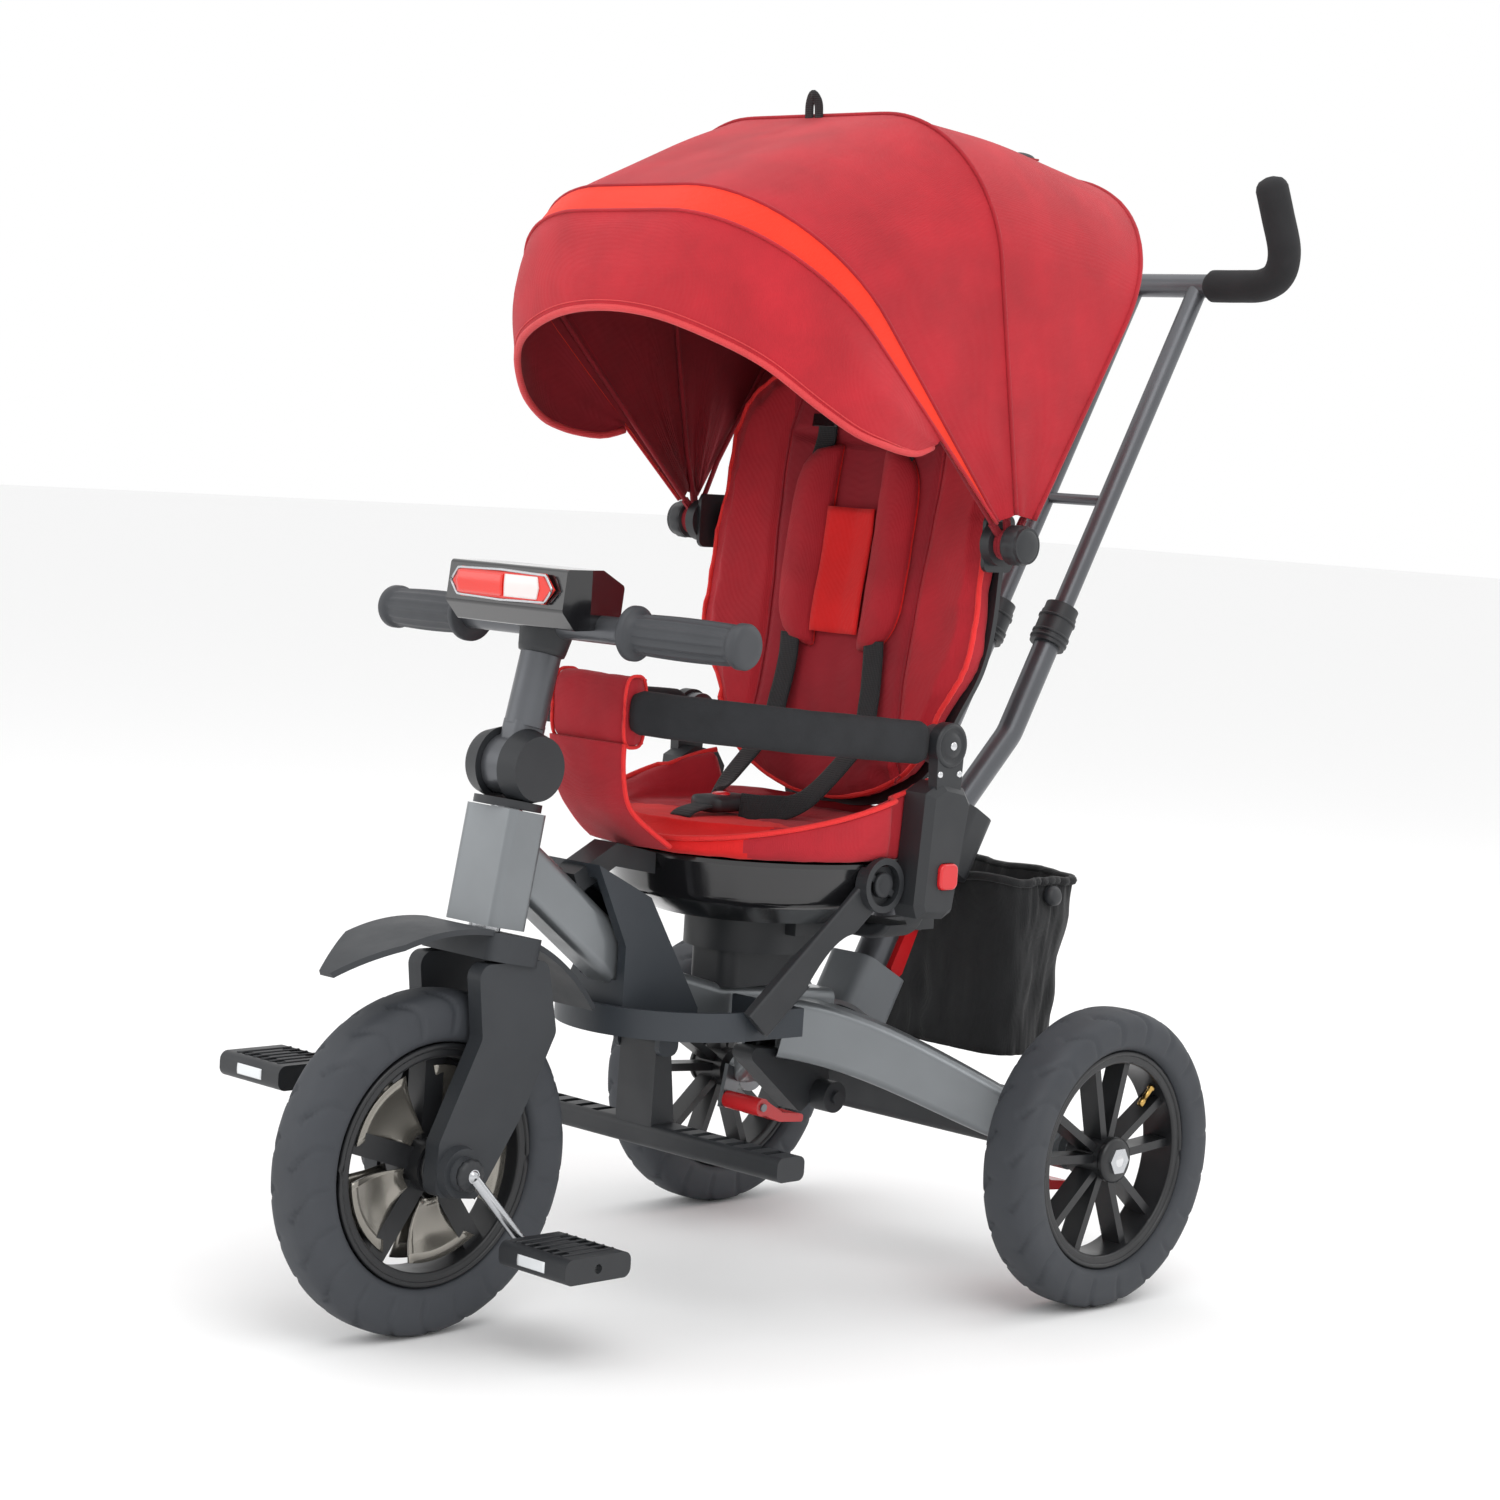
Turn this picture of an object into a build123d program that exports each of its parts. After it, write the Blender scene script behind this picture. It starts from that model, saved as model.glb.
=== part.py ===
from build123d import *
from math import cos, radians, sin
import os

# Children's tricycle with parent handle, canopy and safety bar.
# Millimetres. +Z up, the tricycle drives towards -Y, +X is the child's left.
# Dimensions below are taken with the front axle at FRONT_Y; CENTRE_SHIFT then puts the origin
# on the floor, under the middle of the whole object's box.

os.makedirs("parts", exist_ok=True)

# ---------------------------------------------------------------- driving dimensions
CENTRE_SHIFT = 4.5
FRONT_Y, FRONT_R = -408.0, 150.0        # front axle place and wheel radius
REAR_Y, REAR_R = 200.0, 140.0
REAR_X = 252.0                          # half of the track
TYRE_DEPTH_FRONT, TYRE_DEPTH_REAR = 45.0, 38.0
TYRE_HALF_FRONT, TYRE_HALF_REAR = 25.0, 28.0
AXLE_R = 6.0
REAR_AXLE_R = 8.0
PIN_R = 4.0
RUN = 0.05                              # radial running clearance
GAP = 0.4                               # gap between pieces that pass each other

HEAD_Y, HEAD_Z, HEAD_RAKE = -351.0, 352.0, 9.86
HEAD_LENGTH = 102.0
STEERER_R = 14.0
KNUCKLE_HEIGHT = 140.0                  # along the steering axis, above the head box's foot
CRANK_RADIUS, CRANK_ANGLE = 80.0, 51.5  # arm length, and how far the left arm hangs below level

HANDLE_Y, HANDLE_Z, HANDLE_LEAN = 337.0, 617.0, 28.78   # collars of the push handle
HANDLE_HALF = 41.0
LOWER_TUBE_R, UPPER_TUBE_R = 13.0, 10.0
HANDLE_LENGTH = 405.0                   # collar to cross bar
CROSSBAR_R, HORN_R = 12.0, 17.0

SEAT_Y, SEAT_R, SEAT_Z = -18.0, 148.0, 410.0            # base bowl: centre, radius, rim height
BACK_LEAN = 7.57
BACK_Y, BACK_Z = 35.8, 470.0            # front plane of the back wings at this height
BACK_HOLLOW = 784.0                     # radius of the hollow across the back
RECLINE_Y, RECLINE_Z = 118.0, 452.0
CANOPY_Y, CANOPY_Z = 70.0, 704.0        # axis of the canopy hinges
BAR_Y, BAR_Z, BAR_HALF = 44.0, 519.0, 158.0             # safety bar hinges
BAR_REACH, BAR_CORNER = 277.0, 135.0


def side_plane(x):
    """Plane across X, sketched with local x along +Y and local y along +Z, normal +X."""
    return Plane(origin=(x, 0, 0), x_dir=(0, 1, 0), z_dir=(1, 0, 0))


def axle_plane(x, y, z):
    """Plane through an axle: local x along +X, local y along +Z."""
    return Plane(origin=(x, y, z), x_dir=(1, 0, 0), z_dir=(0, -1, 0))


def tilted_plane(y, z, degrees):
    """Plane whose normal leans back from vertical, with local x along +X."""
    lean = radians(degrees)
    return Plane(origin=(0, y, z), x_dir=(1, 0, 0), z_dir=(0, sin(lean), cos(lean)))


def save(piece, name):
    """Shift a finished piece so the origin is under the middle of the whole box, and write its STEP."""
    placed = piece.part.moved(Location((0, CENTRE_SHIFT, 0)))
    placed.label = name
    export_step(placed, f"parts/{name}.step")


# ---------------------------------------------------------------- frame
head_plane = tilted_plane(HEAD_Y, HEAD_Z, HEAD_RAKE)
BEAM_PATH = ((0, -326, 407), (0, -165, 286), (0, -80, 262), (0, 75, 247))
with BuildPart() as main_beam:
    with BuildLine() as beam_line:
        FilletPolyline(*BEAM_PATH, radius=90)
    beam_start = Plane(origin=beam_line.line @ 0, x_dir=(1, 0, 0), z_dir=beam_line.line % 0)
    with BuildSketch(beam_start):
        RectangleRounded(40, 46, 9)
        RectangleRounded(35, 41, 7, mode=Mode.SUBTRACT)
    sweep()
    with BuildSketch(head_plane):
        Circle(STEERER_R + RUN)
    extrude(amount=HEAD_LENGTH, mode=Mode.SUBTRACT)
save(main_beam, "main_beam")

with BuildPart() as head_box:
    with BuildSketch(head_plane):
        RectangleRounded(66, 42, 8)
        Circle(STEERER_R + RUN, mode=Mode.SUBTRACT)
    extrude(amount=HEAD_LENGTH)
save(head_box, "head_box")

LEG_STATIONS = (  # centre x, y, z, section width, section height
    (14, 14, 238, 34, 58),
    (60, 66, 224, 32, 57),
    (128, 130, 188, 28, 52),
    (180, 170, 161, 25, 44),
    (208, 193, 147, 22, 34),
)


def rear_leg(side):
    """Curved hollow leg from the junction to the rear axle, with the brake pin on its lug."""
    centres = [Vector(side * x, y, z) for x, y, z, _, _ in LEG_STATIONS]
    with BuildPart() as leg:
        for shrink, mode in ((0.0, Mode.ADD), (5.0, Mode.SUBTRACT)):
            for index, (_, _, _, width, height) in enumerate(LEG_STATIONS):
                before = centres[max(index - 1, 0)]
                after = centres[min(index + 1, len(centres) - 1)]
                along = after - before
                across = Vector(0, 0, 1).cross(along)
                station = Plane(origin=centres[index], x_dir=across, z_dir=along)
                with BuildSketch(station):
                    RectangleRounded(width - shrink, height - shrink, (8 - shrink / 2))
            loft(mode=mode)
        with BuildSketch(side_plane(side * 204)):
            with Locations((REAR_Y, REAR_R)):
                Circle(19)
        extrude(amount=side * 16)
        with BuildSketch(side_plane(side * 204)):
            with Locations((REAR_Y, REAR_R)):
                Circle(REAR_AXLE_R)
        extrude(amount=20, both=True, mode=Mode.SUBTRACT)
        with BuildSketch(side_plane(side * 204)):
            Polygon((158, 108), (174, 108), (188, 142), (166, 152), align=None)
        extrude(amount=side * 5)
        with BuildSketch(side_plane(side * 204)):
            with Locations((166, 116)):
                Circle(PIN_R)
        extrude(amount=-side * 54)
    return leg


for side, name in ((1, "left"), (-1, "right")):
    save(rear_leg(side), f"rear_leg_{name}")

with BuildPart() as rear_axle:
    with BuildSketch(side_plane(0)):
        with Locations((REAR_Y, REAR_R)):
            Circle(REAR_AXLE_R)
    extrude(amount=REAR_X + 25, both=True)
    for side in (1, -1):
        with BuildSketch(side_plane(side * (REAR_X + 22))):
            with Locations((REAR_Y, REAR_R)):
                RegularPolygon(13, 6)
        extrude(amount=side * 5)
save(rear_axle, "rear_axle")

with BuildPart() as axle_cover:
    with BuildSketch(side_plane(0)):
        with Locations((REAR_Y, 158)):
            RectangleRounded(30, 54, 9)
        with Locations((REAR_Y, REAR_R)):
            Circle(REAR_AXLE_R, mode=Mode.SUBTRACT)
    extrude(amount=150, both=True)
save(axle_cover, "axle_cover")

handle_post_plane = tilted_plane(150, 300, HANDLE_LEAN)
with BuildPart() as post_socket:
    with BuildSketch(handle_post_plane.offset(-66)):
        RectangleRounded(56, 66, 12)
        Circle(17, mode=Mode.SUBTRACT)
    extrude(amount=50)
save(post_socket, "post_socket")

# Side view of the post: local x is behind the tube, local y is along it.
post_side = Plane(origin=(0, 150, 300), x_dir=handle_post_plane.y_dir, z_dir=(1, 0, 0))
LEVER_BACK, LEVER_UP = 28, 48
with BuildPart() as handle_post:
    with BuildSketch(handle_post_plane.offset(-62)):
        Circle(17)
    extrude(amount=170)
    for side in (1, -1):
        with BuildSketch(post_side.offset(side * 11.5)):
            with Locations((LEVER_BACK - 8, LEVER_UP)):
                RectangleRounded(30, 18, 5)
        extrude(amount=side * 4)
    with BuildSketch(post_side):
        with Locations((LEVER_BACK, LEVER_UP)):
            Circle(PIN_R)
    extrude(amount=15, both=True)
    with BuildSketch(handle_post_plane.offset(-62)):
        Circle(14.5)
    extrude(amount=170, mode=Mode.SUBTRACT)
save(handle_post, "handle_post")

with BuildPart() as release_lever:
    with BuildSketch(post_side):
        with BuildLine():
            FilletPolyline((20, 40), (20, -9), (34, -13), (38, -6), (34, 54), (22, 54),
                           radius=1.8, close=True)
        make_face()
        with Locations((LEVER_BACK, LEVER_UP)):
            Circle(PIN_R + RUN, mode=Mode.SUBTRACT)
    extrude(amount=11, both=True)
save(release_lever, "release_lever")

with BuildPart() as handle_yoke:
    with BuildSketch(handle_post_plane.offset(94)):
        with Locations((0, 4)):
            RectangleRounded(116, 46, 14)
    extrude(amount=66)
    with BuildSketch(handle_post_plane.offset(90)):
        Circle(17)
    extrude(amount=18, mode=Mode.SUBTRACT)
save(handle_yoke, "handle_yoke")

with BuildPart() as under_cover:
    with BuildSketch(side_plane(0)):
        with BuildLine():
            FilletPolyline((-40, 222), (78, 208), (84, 178), (46, 152), radius=7, close=True)
        make_face()
    extrude(amount=13, both=True)
    with BuildSketch(side_plane(13)):
        with Locations((72, 168)):
            Circle(15)
    extrude(amount=20)
    with BuildSketch(side_plane(33)):
        with Locations((72, 168)):
            Circle(6)
    extrude(amount=4)
save(under_cover, "under_cover")

# ---------------------------------------------------------------- push handle
handle_dir = Vector(0, sin(radians(HANDLE_LEAN)), cos(radians(HANDLE_LEAN)))


def on_handle(x, along, behind=0.0):
    """Point on a handle tube's axis: distance above the collar, and square to the tubes."""
    behind_dir = Vector(0, handle_dir.Z, -handle_dir.Y)
    return Vector(x, HANDLE_Y, HANDLE_Z) + handle_dir * along + behind_dir * behind


with BuildPart() as lower_tubes:
    for side in (1, -1):
        with BuildLine() as lower_line:
            FilletPolyline(
                on_handle(side * HANDLE_HALF, 16),
                on_handle(side * HANDLE_HALF, -118),
                Vector(side * HANDLE_HALF, 212, 444),
                radius=46,
            )
        with BuildSketch(Plane(origin=lower_line.line @ 0, z_dir=lower_line.line % 0)):
            Circle(LOWER_TUBE_R)
            Circle(UPPER_TUBE_R + RUN, mode=Mode.SUBTRACT)
        sweep()
save(lower_tubes, "lower_tubes")

handle_plane = tilted_plane(HANDLE_Y, HANDLE_Z, HANDLE_LEAN)
with BuildPart() as tube_collars:
    for side in (1, -1):
        with BuildSketch(handle_plane.offset(-18)):
            with Locations((side * HANDLE_HALF, 0)):
                Circle(LOWER_TUBE_R + 5)
                Circle(LOWER_TUBE_R, mode=Mode.SUBTRACT)
        extrude(amount=34)
        with BuildSketch(handle_plane.offset(16)):
            with Locations((side * HANDLE_HALF, 0)):
                Circle(LOWER_TUBE_R + 4)
                Circle(UPPER_TUBE_R + RUN, mode=Mode.SUBTRACT)
        extrude(amount=9)
save(tube_collars, "tube_collars")

with BuildPart() as push_frame:
    for side in (1, -1):
        with BuildSketch(handle_plane.offset(-45)):
            with Locations((side * HANDLE_HALF, 0)):
                Circle(UPPER_TUBE_R)
                Circle(UPPER_TUBE_R - 1.5, mode=Mode.SUBTRACT)
        extrude(amount=HANDLE_LENGTH + 45)
    with BuildSketch(side_plane(0)):
        with Locations((on_handle(0, HANDLE_LENGTH).Y, on_handle(0, HANDLE_LENGTH).Z)):
            Circle(CROSSBAR_R)
            Circle(CROSSBAR_R - 2, mode=Mode.SUBTRACT)
    extrude(amount=104, both=True)
    with BuildSketch(side_plane(0)):
        with Locations((on_handle(0, 148).Y, on_handle(0, 148).Z)):
            Circle(5.5)
    extrude(amount=HANDLE_HALF - UPPER_TUBE_R + 1, both=True)
save(push_frame, "push_frame")

HORN_PATH = ((52, 0, 0), (158, 0, 0), (142, -38, 122))   # from the cross bar's middle: x, y, z
with BuildPart() as push_grips:
    for side in (1, -1):
        top = on_handle(0, HANDLE_LENGTH)
        horn_points = [Vector(side * x, top.Y + y, top.Z + z) for x, y, z in HORN_PATH]
        with BuildLine() as horn_line:
            FilletPolyline(*horn_points, radius=38)
        with BuildSketch(Plane(origin=horn_line.line @ 0, z_dir=horn_line.line % 0)):
            Circle(HORN_R)
        sweep()
    fillet(push_grips.edges().filter_by(GeomType.CIRCLE).sort_by(Axis.Z)[-2:], 6)
    with BuildSketch(side_plane(0)):
        with Locations((top.Y, top.Z)):
            Circle(CROSSBAR_R)
    extrude(amount=104, both=True, mode=Mode.SUBTRACT)
save(push_grips, "push_grips")

# ---------------------------------------------------------------- wheels


def tyre(x, y, radius, half, depth):
    """Flat-shouldered air tyre."""
    place = axle_plane(x, y, radius)
    with BuildPart() as ring:
        with BuildSketch(place):
            with Locations((0, radius - depth / 2)):
                section = Rectangle(2 * half, depth)
            fillet(section.vertices().group_by(Axis.Y)[-1], 0.8 * half)
            fillet(section.vertices().group_by(Axis.Y)[0], 6)
        revolve(axis=Axis((x, y, radius), (1, 0, 0)))
    return ring


def wheel_body(x, y, radius, rim_radius, half, hub, bore, spokes, spoke_width, twin):
    """Rim, spokes and hub in one moulding; twin spokes split in two towards the rim."""
    centre_z = radius
    axle = Axis((x, y, centre_z), (1, 0, 0))
    with BuildPart() as body:
        with BuildSketch(axle_plane(x, y, centre_z)):
            with Locations((0, rim_radius - 6)):
                RectangleRounded(2 * half, 11.8, 3)
            with Locations((0, (hub + bore) / 2)):
                Rectangle(2 * half + 6, hub - bore)
        revolve(axis=axle)
        for index in range(spokes):
            angle = 90 + index * 360 / spokes
            for spread in ((-twin, twin) if twin else (0,)):
                with BuildSketch(side_plane(x)):
                    with Locations((y, centre_z)):
                        with Locations(Rotation(0, 0, angle + spread)):
                            with Locations(((hub + rim_radius) / 2 - 3, 0)):
                                Rectangle(rim_radius - hub - 2, spoke_width)
                extrude(amount=half * 0.55, both=True)
    return body


RIM_FRONT = FRONT_R - TYRE_DEPTH_FRONT
RIM_REAR = REAR_R - TYRE_DEPTH_REAR
save(tyre(0, FRONT_Y, FRONT_R, TYRE_HALF_FRONT, TYRE_DEPTH_FRONT), "front_tyre")
save(wheel_body(0, FRONT_Y, FRONT_R, RIM_FRONT, 20, 24, AXLE_R + RUN, 5, 20, 0), "front_rim")
for side, name in ((1, "left"), (-1, "right")):
    save(tyre(side * REAR_X, REAR_Y, REAR_R, TYRE_HALF_REAR, TYRE_DEPTH_REAR), f"rear_tyre_{name}")
    rear_rim = wheel_body(
        side * REAR_X, REAR_Y, REAR_R, RIM_REAR, 19, 20, REAR_AXLE_R + RUN, 5, 8, 14
    )
    save(rear_rim, f"rear_rim_{name}")

# ---------------------------------------------------------------- crank and pedals
arm_y = CRANK_RADIUS * cos(radians(CRANK_ANGLE))
arm_z = CRANK_RADIUS * sin(radians(CRANK_ANGLE))
CRANK_IN, CRANK_OUT, PEDAL_END = 70, 86, 172
with BuildPart() as crank:
    with BuildSketch(side_plane(0)):
        with Locations((FRONT_Y, FRONT_R)):
            Circle(AXLE_R)
    extrude(amount=CRANK_IN, both=True)
    for side in (1, -1):
        pin_y, pin_z = FRONT_Y + side * arm_y, FRONT_R - side * arm_z
        with BuildLine():
            Line((side * (CRANK_IN - 3), FRONT_Y, FRONT_R), (side * (CRANK_OUT - 3), pin_y, pin_z))
        arm_dir = Vector(side * (CRANK_OUT - CRANK_IN), pin_y - FRONT_Y, pin_z - FRONT_R)
        with BuildSketch(Plane(origin=(side * (CRANK_IN - 3), FRONT_Y, FRONT_R), z_dir=arm_dir)):
            Circle(5)
        sweep()
        with Locations((side * (CRANK_IN - 3), FRONT_Y, FRONT_R)):
            Sphere(6)
        with Locations((side * (CRANK_OUT - 3), pin_y, pin_z)):
            Sphere(5)
        with BuildSketch(side_plane(side * (CRANK_OUT - 3))):
            with Locations((pin_y, pin_z)):
                Circle(PIN_R)
        extrude(amount=side * (PEDAL_END - CRANK_OUT + 2))
save(crank, "crank")

for side, name in ((1, "left"), (-1, "right")):
    pin_y, pin_z = FRONT_Y + side * arm_y, FRONT_R - side * arm_z
    with BuildPart() as pedal:
        with BuildSketch(side_plane(side * (CRANK_OUT + 6))):
            with Locations((pin_y, pin_z)):
                RectangleRounded(74, 22, 8)
        extrude(amount=side * (PEDAL_END - CRANK_OUT - 2))
        with BuildSketch(Plane.XY.offset(pin_z)):
            with Locations((side * (CRANK_OUT + 47), pin_y)):
                for offset_y in (22, -22):
                    with Locations((0, offset_y)):
                        RectangleRounded(52, 13, 4)
        extrude(amount=20, both=True, mode=Mode.SUBTRACT)
        with BuildSketch(side_plane(side * (CRANK_OUT + 5))):
            with Locations((pin_y, pin_z)):
                Circle(PIN_R + RUN)
        extrude(amount=side * (PEDAL_END - CRANK_OUT), mode=Mode.SUBTRACT)
    save(pedal, f"pedal_{name}")

# ---------------------------------------------------------------- steering
with BuildPart() as steerer:
    with BuildSketch(head_plane.offset(-22)):
        Circle(STEERER_R)
        Circle(STEERER_R - 3, mode=Mode.SUBTRACT)
    extrude(amount=HEAD_LENGTH + 30)
save(steerer, "steerer")

FORK_X, FORK_THICK = 31, 17
FORK_OUTLINE = ((-396, 326), (-318, 326), (-304, 262), (-340, 190), (-384, 124), (-432, 130),
                (-430, 176), (-388, 262))
with BuildPart() as fork:
    with BuildSketch(head_plane.offset(-4)):
        RectangleRounded(104, 58, 14)
        Circle(STEERER_R, mode=Mode.SUBTRACT)
    extrude(amount=-24)
    for side in (1, -1):
        with BuildSketch(side_plane(side * FORK_X)):
            with BuildLine():
                FilletPolyline(*FORK_OUTLINE, radius=12, close=True)
            make_face()
        extrude(amount=side * FORK_THICK)
        with BuildSketch(side_plane(side * (FORK_X + FORK_THICK))):
            with Locations((FRONT_Y, FRONT_R)):
                Circle(23)
        extrude(amount=side * 8, taper=12)
        with BuildSketch(side_plane(side * (FORK_X + FORK_THICK + 8))):
            with Locations((FRONT_Y, FRONT_R)):
                Circle(15)
        extrude(amount=side * 6, taper=20)
    with BuildSketch(side_plane(0)):
        with Locations((FRONT_Y, FRONT_R)):
            Circle(AXLE_R + RUN)
    extrude(amount=80, both=True, mode=Mode.SUBTRACT)
save(fork, "fork")

GUARD_OUT, GUARD_IN = 207.0, 202.0
GUARD_TIP, GUARD_TAIL = 124.0, 38.0      # degrees from straight back
with BuildPart() as mudguard:
    with BuildSketch(side_plane(0)):
        with BuildLine():
            outer = CenterArc((FRONT_Y, FRONT_R), GUARD_OUT, GUARD_TAIL, GUARD_TIP - GUARD_TAIL)
            inner = CenterArc((FRONT_Y, FRONT_R), GUARD_IN, GUARD_TAIL, GUARD_TIP - GUARD_TAIL)
            Line(outer @ 0, inner @ 0)
            Line(outer @ 1, inner @ 1)
        make_face()
    extrude(amount=60, both=True)
    with BuildSketch(Plane.XY):
        with BuildLine():
            tip_y = FRONT_Y + GUARD_OUT * cos(radians(GUARD_TIP))
            tail_y = FRONT_Y + GUARD_OUT * cos(radians(GUARD_TAIL))
            Polyline((6, tip_y - 2), (40, tip_y + 52), (46, -357), (32, tail_y), (-32, tail_y),
                     (-46, -357), (-40, tip_y + 52), (-6, tip_y - 2), close=True)
        make_face()
    extrude(amount=500, mode=Mode.INTERSECT)
    with BuildSketch(head_plane.offset(-60)):
        RectangleRounded(104 + 2 * GAP, 58 + 2 * GAP, 14)
    extrude(amount=80, mode=Mode.SUBTRACT)
save(mudguard, "mudguard")

with BuildPart() as knuckle:
    with BuildSketch(head_plane.offset(HEAD_LENGTH + 1)):
        Circle(30)
        Circle(STEERER_R, mode=Mode.SUBTRACT)
    extrude(amount=7)
    for side in (1, -1):
        with BuildSketch(Plane(origin=(side * 14, 0, 0), x_dir=(0, 1, 0), z_dir=(1, 0, 0))):
            knuckle_centre = head_plane.from_local_coords((0, 0, KNUCKLE_HEIGHT))
            with Locations((knuckle_centre.Y, knuckle_centre.Z)):
                Circle(33)
        extrude(amount=side * 19, taper=14)
    with BuildSketch(side_plane(0)):
        with Locations((knuckle_centre.Y, knuckle_centre.Z)):
            Circle(PIN_R)
    extrude(amount=15, both=True)
save(knuckle, "knuckle")

STEM_LEAN, STEM_LENGTH = 13.4, 119.0
stem_plane = tilted_plane(knuckle_centre.Y, knuckle_centre.Z, STEM_LEAN)
with BuildPart() as stem:
    with BuildSketch(side_plane(-13.6)):
        with Locations((knuckle_centre.Y, knuckle_centre.Z)):
            Circle(27)
    extrude(amount=27.2)
    with BuildSketch(stem_plane.offset(20)):
        RectangleRounded(27.2, 34, 8)
    extrude(amount=18)
    with BuildSketch(stem_plane.offset(35)):
        Circle(18)
        Circle(14.5, mode=Mode.SUBTRACT)
    extrude(amount=STEM_LENGTH - 35 - 12)
    with BuildSketch(side_plane(0)):
        with Locations((knuckle_centre.Y, knuckle_centre.Z)):
            Circle(PIN_R + RUN)
    extrude(amount=20, both=True, mode=Mode.SUBTRACT)
save(stem, "stem")

BAR_MIDDLE = stem_plane.from_local_coords((0, 0, STEM_LENGTH + 8))
GRIP_IN, GRIP_OUT, GRIP_SWEEP = 104, 231, 16
with BuildPart() as handlebar:
    with BuildLine() as bar_line:
        FilletPolyline(
            (-GRIP_OUT + 4, BAR_MIDDLE.Y + GRIP_SWEEP, BAR_MIDDLE.Z - 2),
            (-80, BAR_MIDDLE.Y, BAR_MIDDLE.Z),
            (80, BAR_MIDDLE.Y, BAR_MIDDLE.Z),
            (GRIP_OUT - 4, BAR_MIDDLE.Y + GRIP_SWEEP, BAR_MIDDLE.Z - 2),
            radius=60,
        )
    with BuildSketch(Plane(origin=bar_line.line @ 0, z_dir=bar_line.line % 0)):
        Circle(12)
        Circle(10.3, mode=Mode.SUBTRACT)
    sweep()
save(handlebar, "handlebar")

with BuildPart() as bar_grips:
    for side in (1, -1):
        grip_dir = Vector(side * (GRIP_OUT - 80), GRIP_SWEEP, -2)
        grip_start = Vector(side * 80, BAR_MIDDLE.Y, BAR_MIDDLE.Z) + grip_dir.normalized() * 24
        grip_plane = Plane(origin=grip_start, z_dir=grip_dir)
        with BuildSketch(grip_plane):
            Circle(24)
        extrude(amount=8)
        with BuildSketch(grip_plane.offset(8)):
            Circle(17.5)
        extrude(amount=120, taper=-0.6)
        with BuildSketch(grip_plane.offset(-1)):
            Circle(12)
        extrude(amount=129 - 10, mode=Mode.SUBTRACT)
save(bar_grips, "bar_grips")

CONSOLE_SIDE = ((-351, 628), (-336, 612), (-268, 614), (-262, 650), (-300, 664), (-347, 664))
with BuildPart() as console:
    with BuildSketch(side_plane(0)):
        with BuildLine():
            FilletPolyline(*CONSOLE_SIDE, radius=4, close=True)
        make_face()
    extrude(amount=76, both=True)
    with BuildSketch(Plane.XY.offset(600)):
        Polygon((-80, -360), (80, -360), (80, -330), (54, -255), (-54, -255), (-80, -330), align=None)
    extrude(amount=80, mode=Mode.INTERSECT)
    with BuildSketch(side_plane(0)):
        with Locations((BAR_MIDDLE.Y, BAR_MIDDLE.Z)):
            Circle(12)
    extrude(amount=90, both=True, mode=Mode.SUBTRACT)
    with BuildSketch(stem_plane):
        Circle(18)
    extrude(amount=STEM_LENGTH - 12, mode=Mode.SUBTRACT)
save(console, "console")

LENS_OUTLINE = ((-66, 646), (-54, 659), (54, 659), (66, 646), (54, 633), (-54, 633))
with BuildPart() as console_lens:
    with BuildSketch(Plane(origin=(0, -351, 0), x_dir=(1, 0, 0), z_dir=(0, -1, 0))):
        Polygon(*LENS_OUTLINE, align=None)
    extrude(amount=4)
    chamfer(console_lens.faces().sort_by(Axis.Y)[0].edges(), 2)
save(console_lens, "console_lens")

# ---------------------------------------------------------------- seat
BOWL_SIDE = ((0, 350), (100, 350), (136, 370), (SEAT_R, SEAT_Z - 4), (SEAT_R - 1, SEAT_Z), (0, SEAT_Z))
BOWL_HOLLOW = ((0, 354), (99, 354), (133, 373), (SEAT_R - 5, SEAT_Z + 1), (0, SEAT_Z + 1))
with BuildPart() as seat_base:
    with BuildSketch(Plane(origin=(0, SEAT_Y, 0), x_dir=(1, 0, 0), z_dir=(0, -1, 0))):
        Polygon(*BOWL_SIDE, align=None)
        Polygon(*BOWL_HOLLOW, align=None, mode=Mode.SUBTRACT)
    revolve(axis=Axis((0, SEAT_Y, 0), (0, 0, 1)))
    rim_edges = seat_base.edges().filter_by(GeomType.CIRCLE)
    fillet(rim_edges.filter_by(lambda edge: abs(edge.radius - 136) < 1), 14)
    with BuildSketch(Plane.XY.offset(340)):
        with Locations((0, SEAT_Y)):
            with GridLocations(60, 60, 2, 2):
                Circle(3)
    extrude(amount=20, mode=Mode.SUBTRACT)
save(seat_base, "seat_base")

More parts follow.
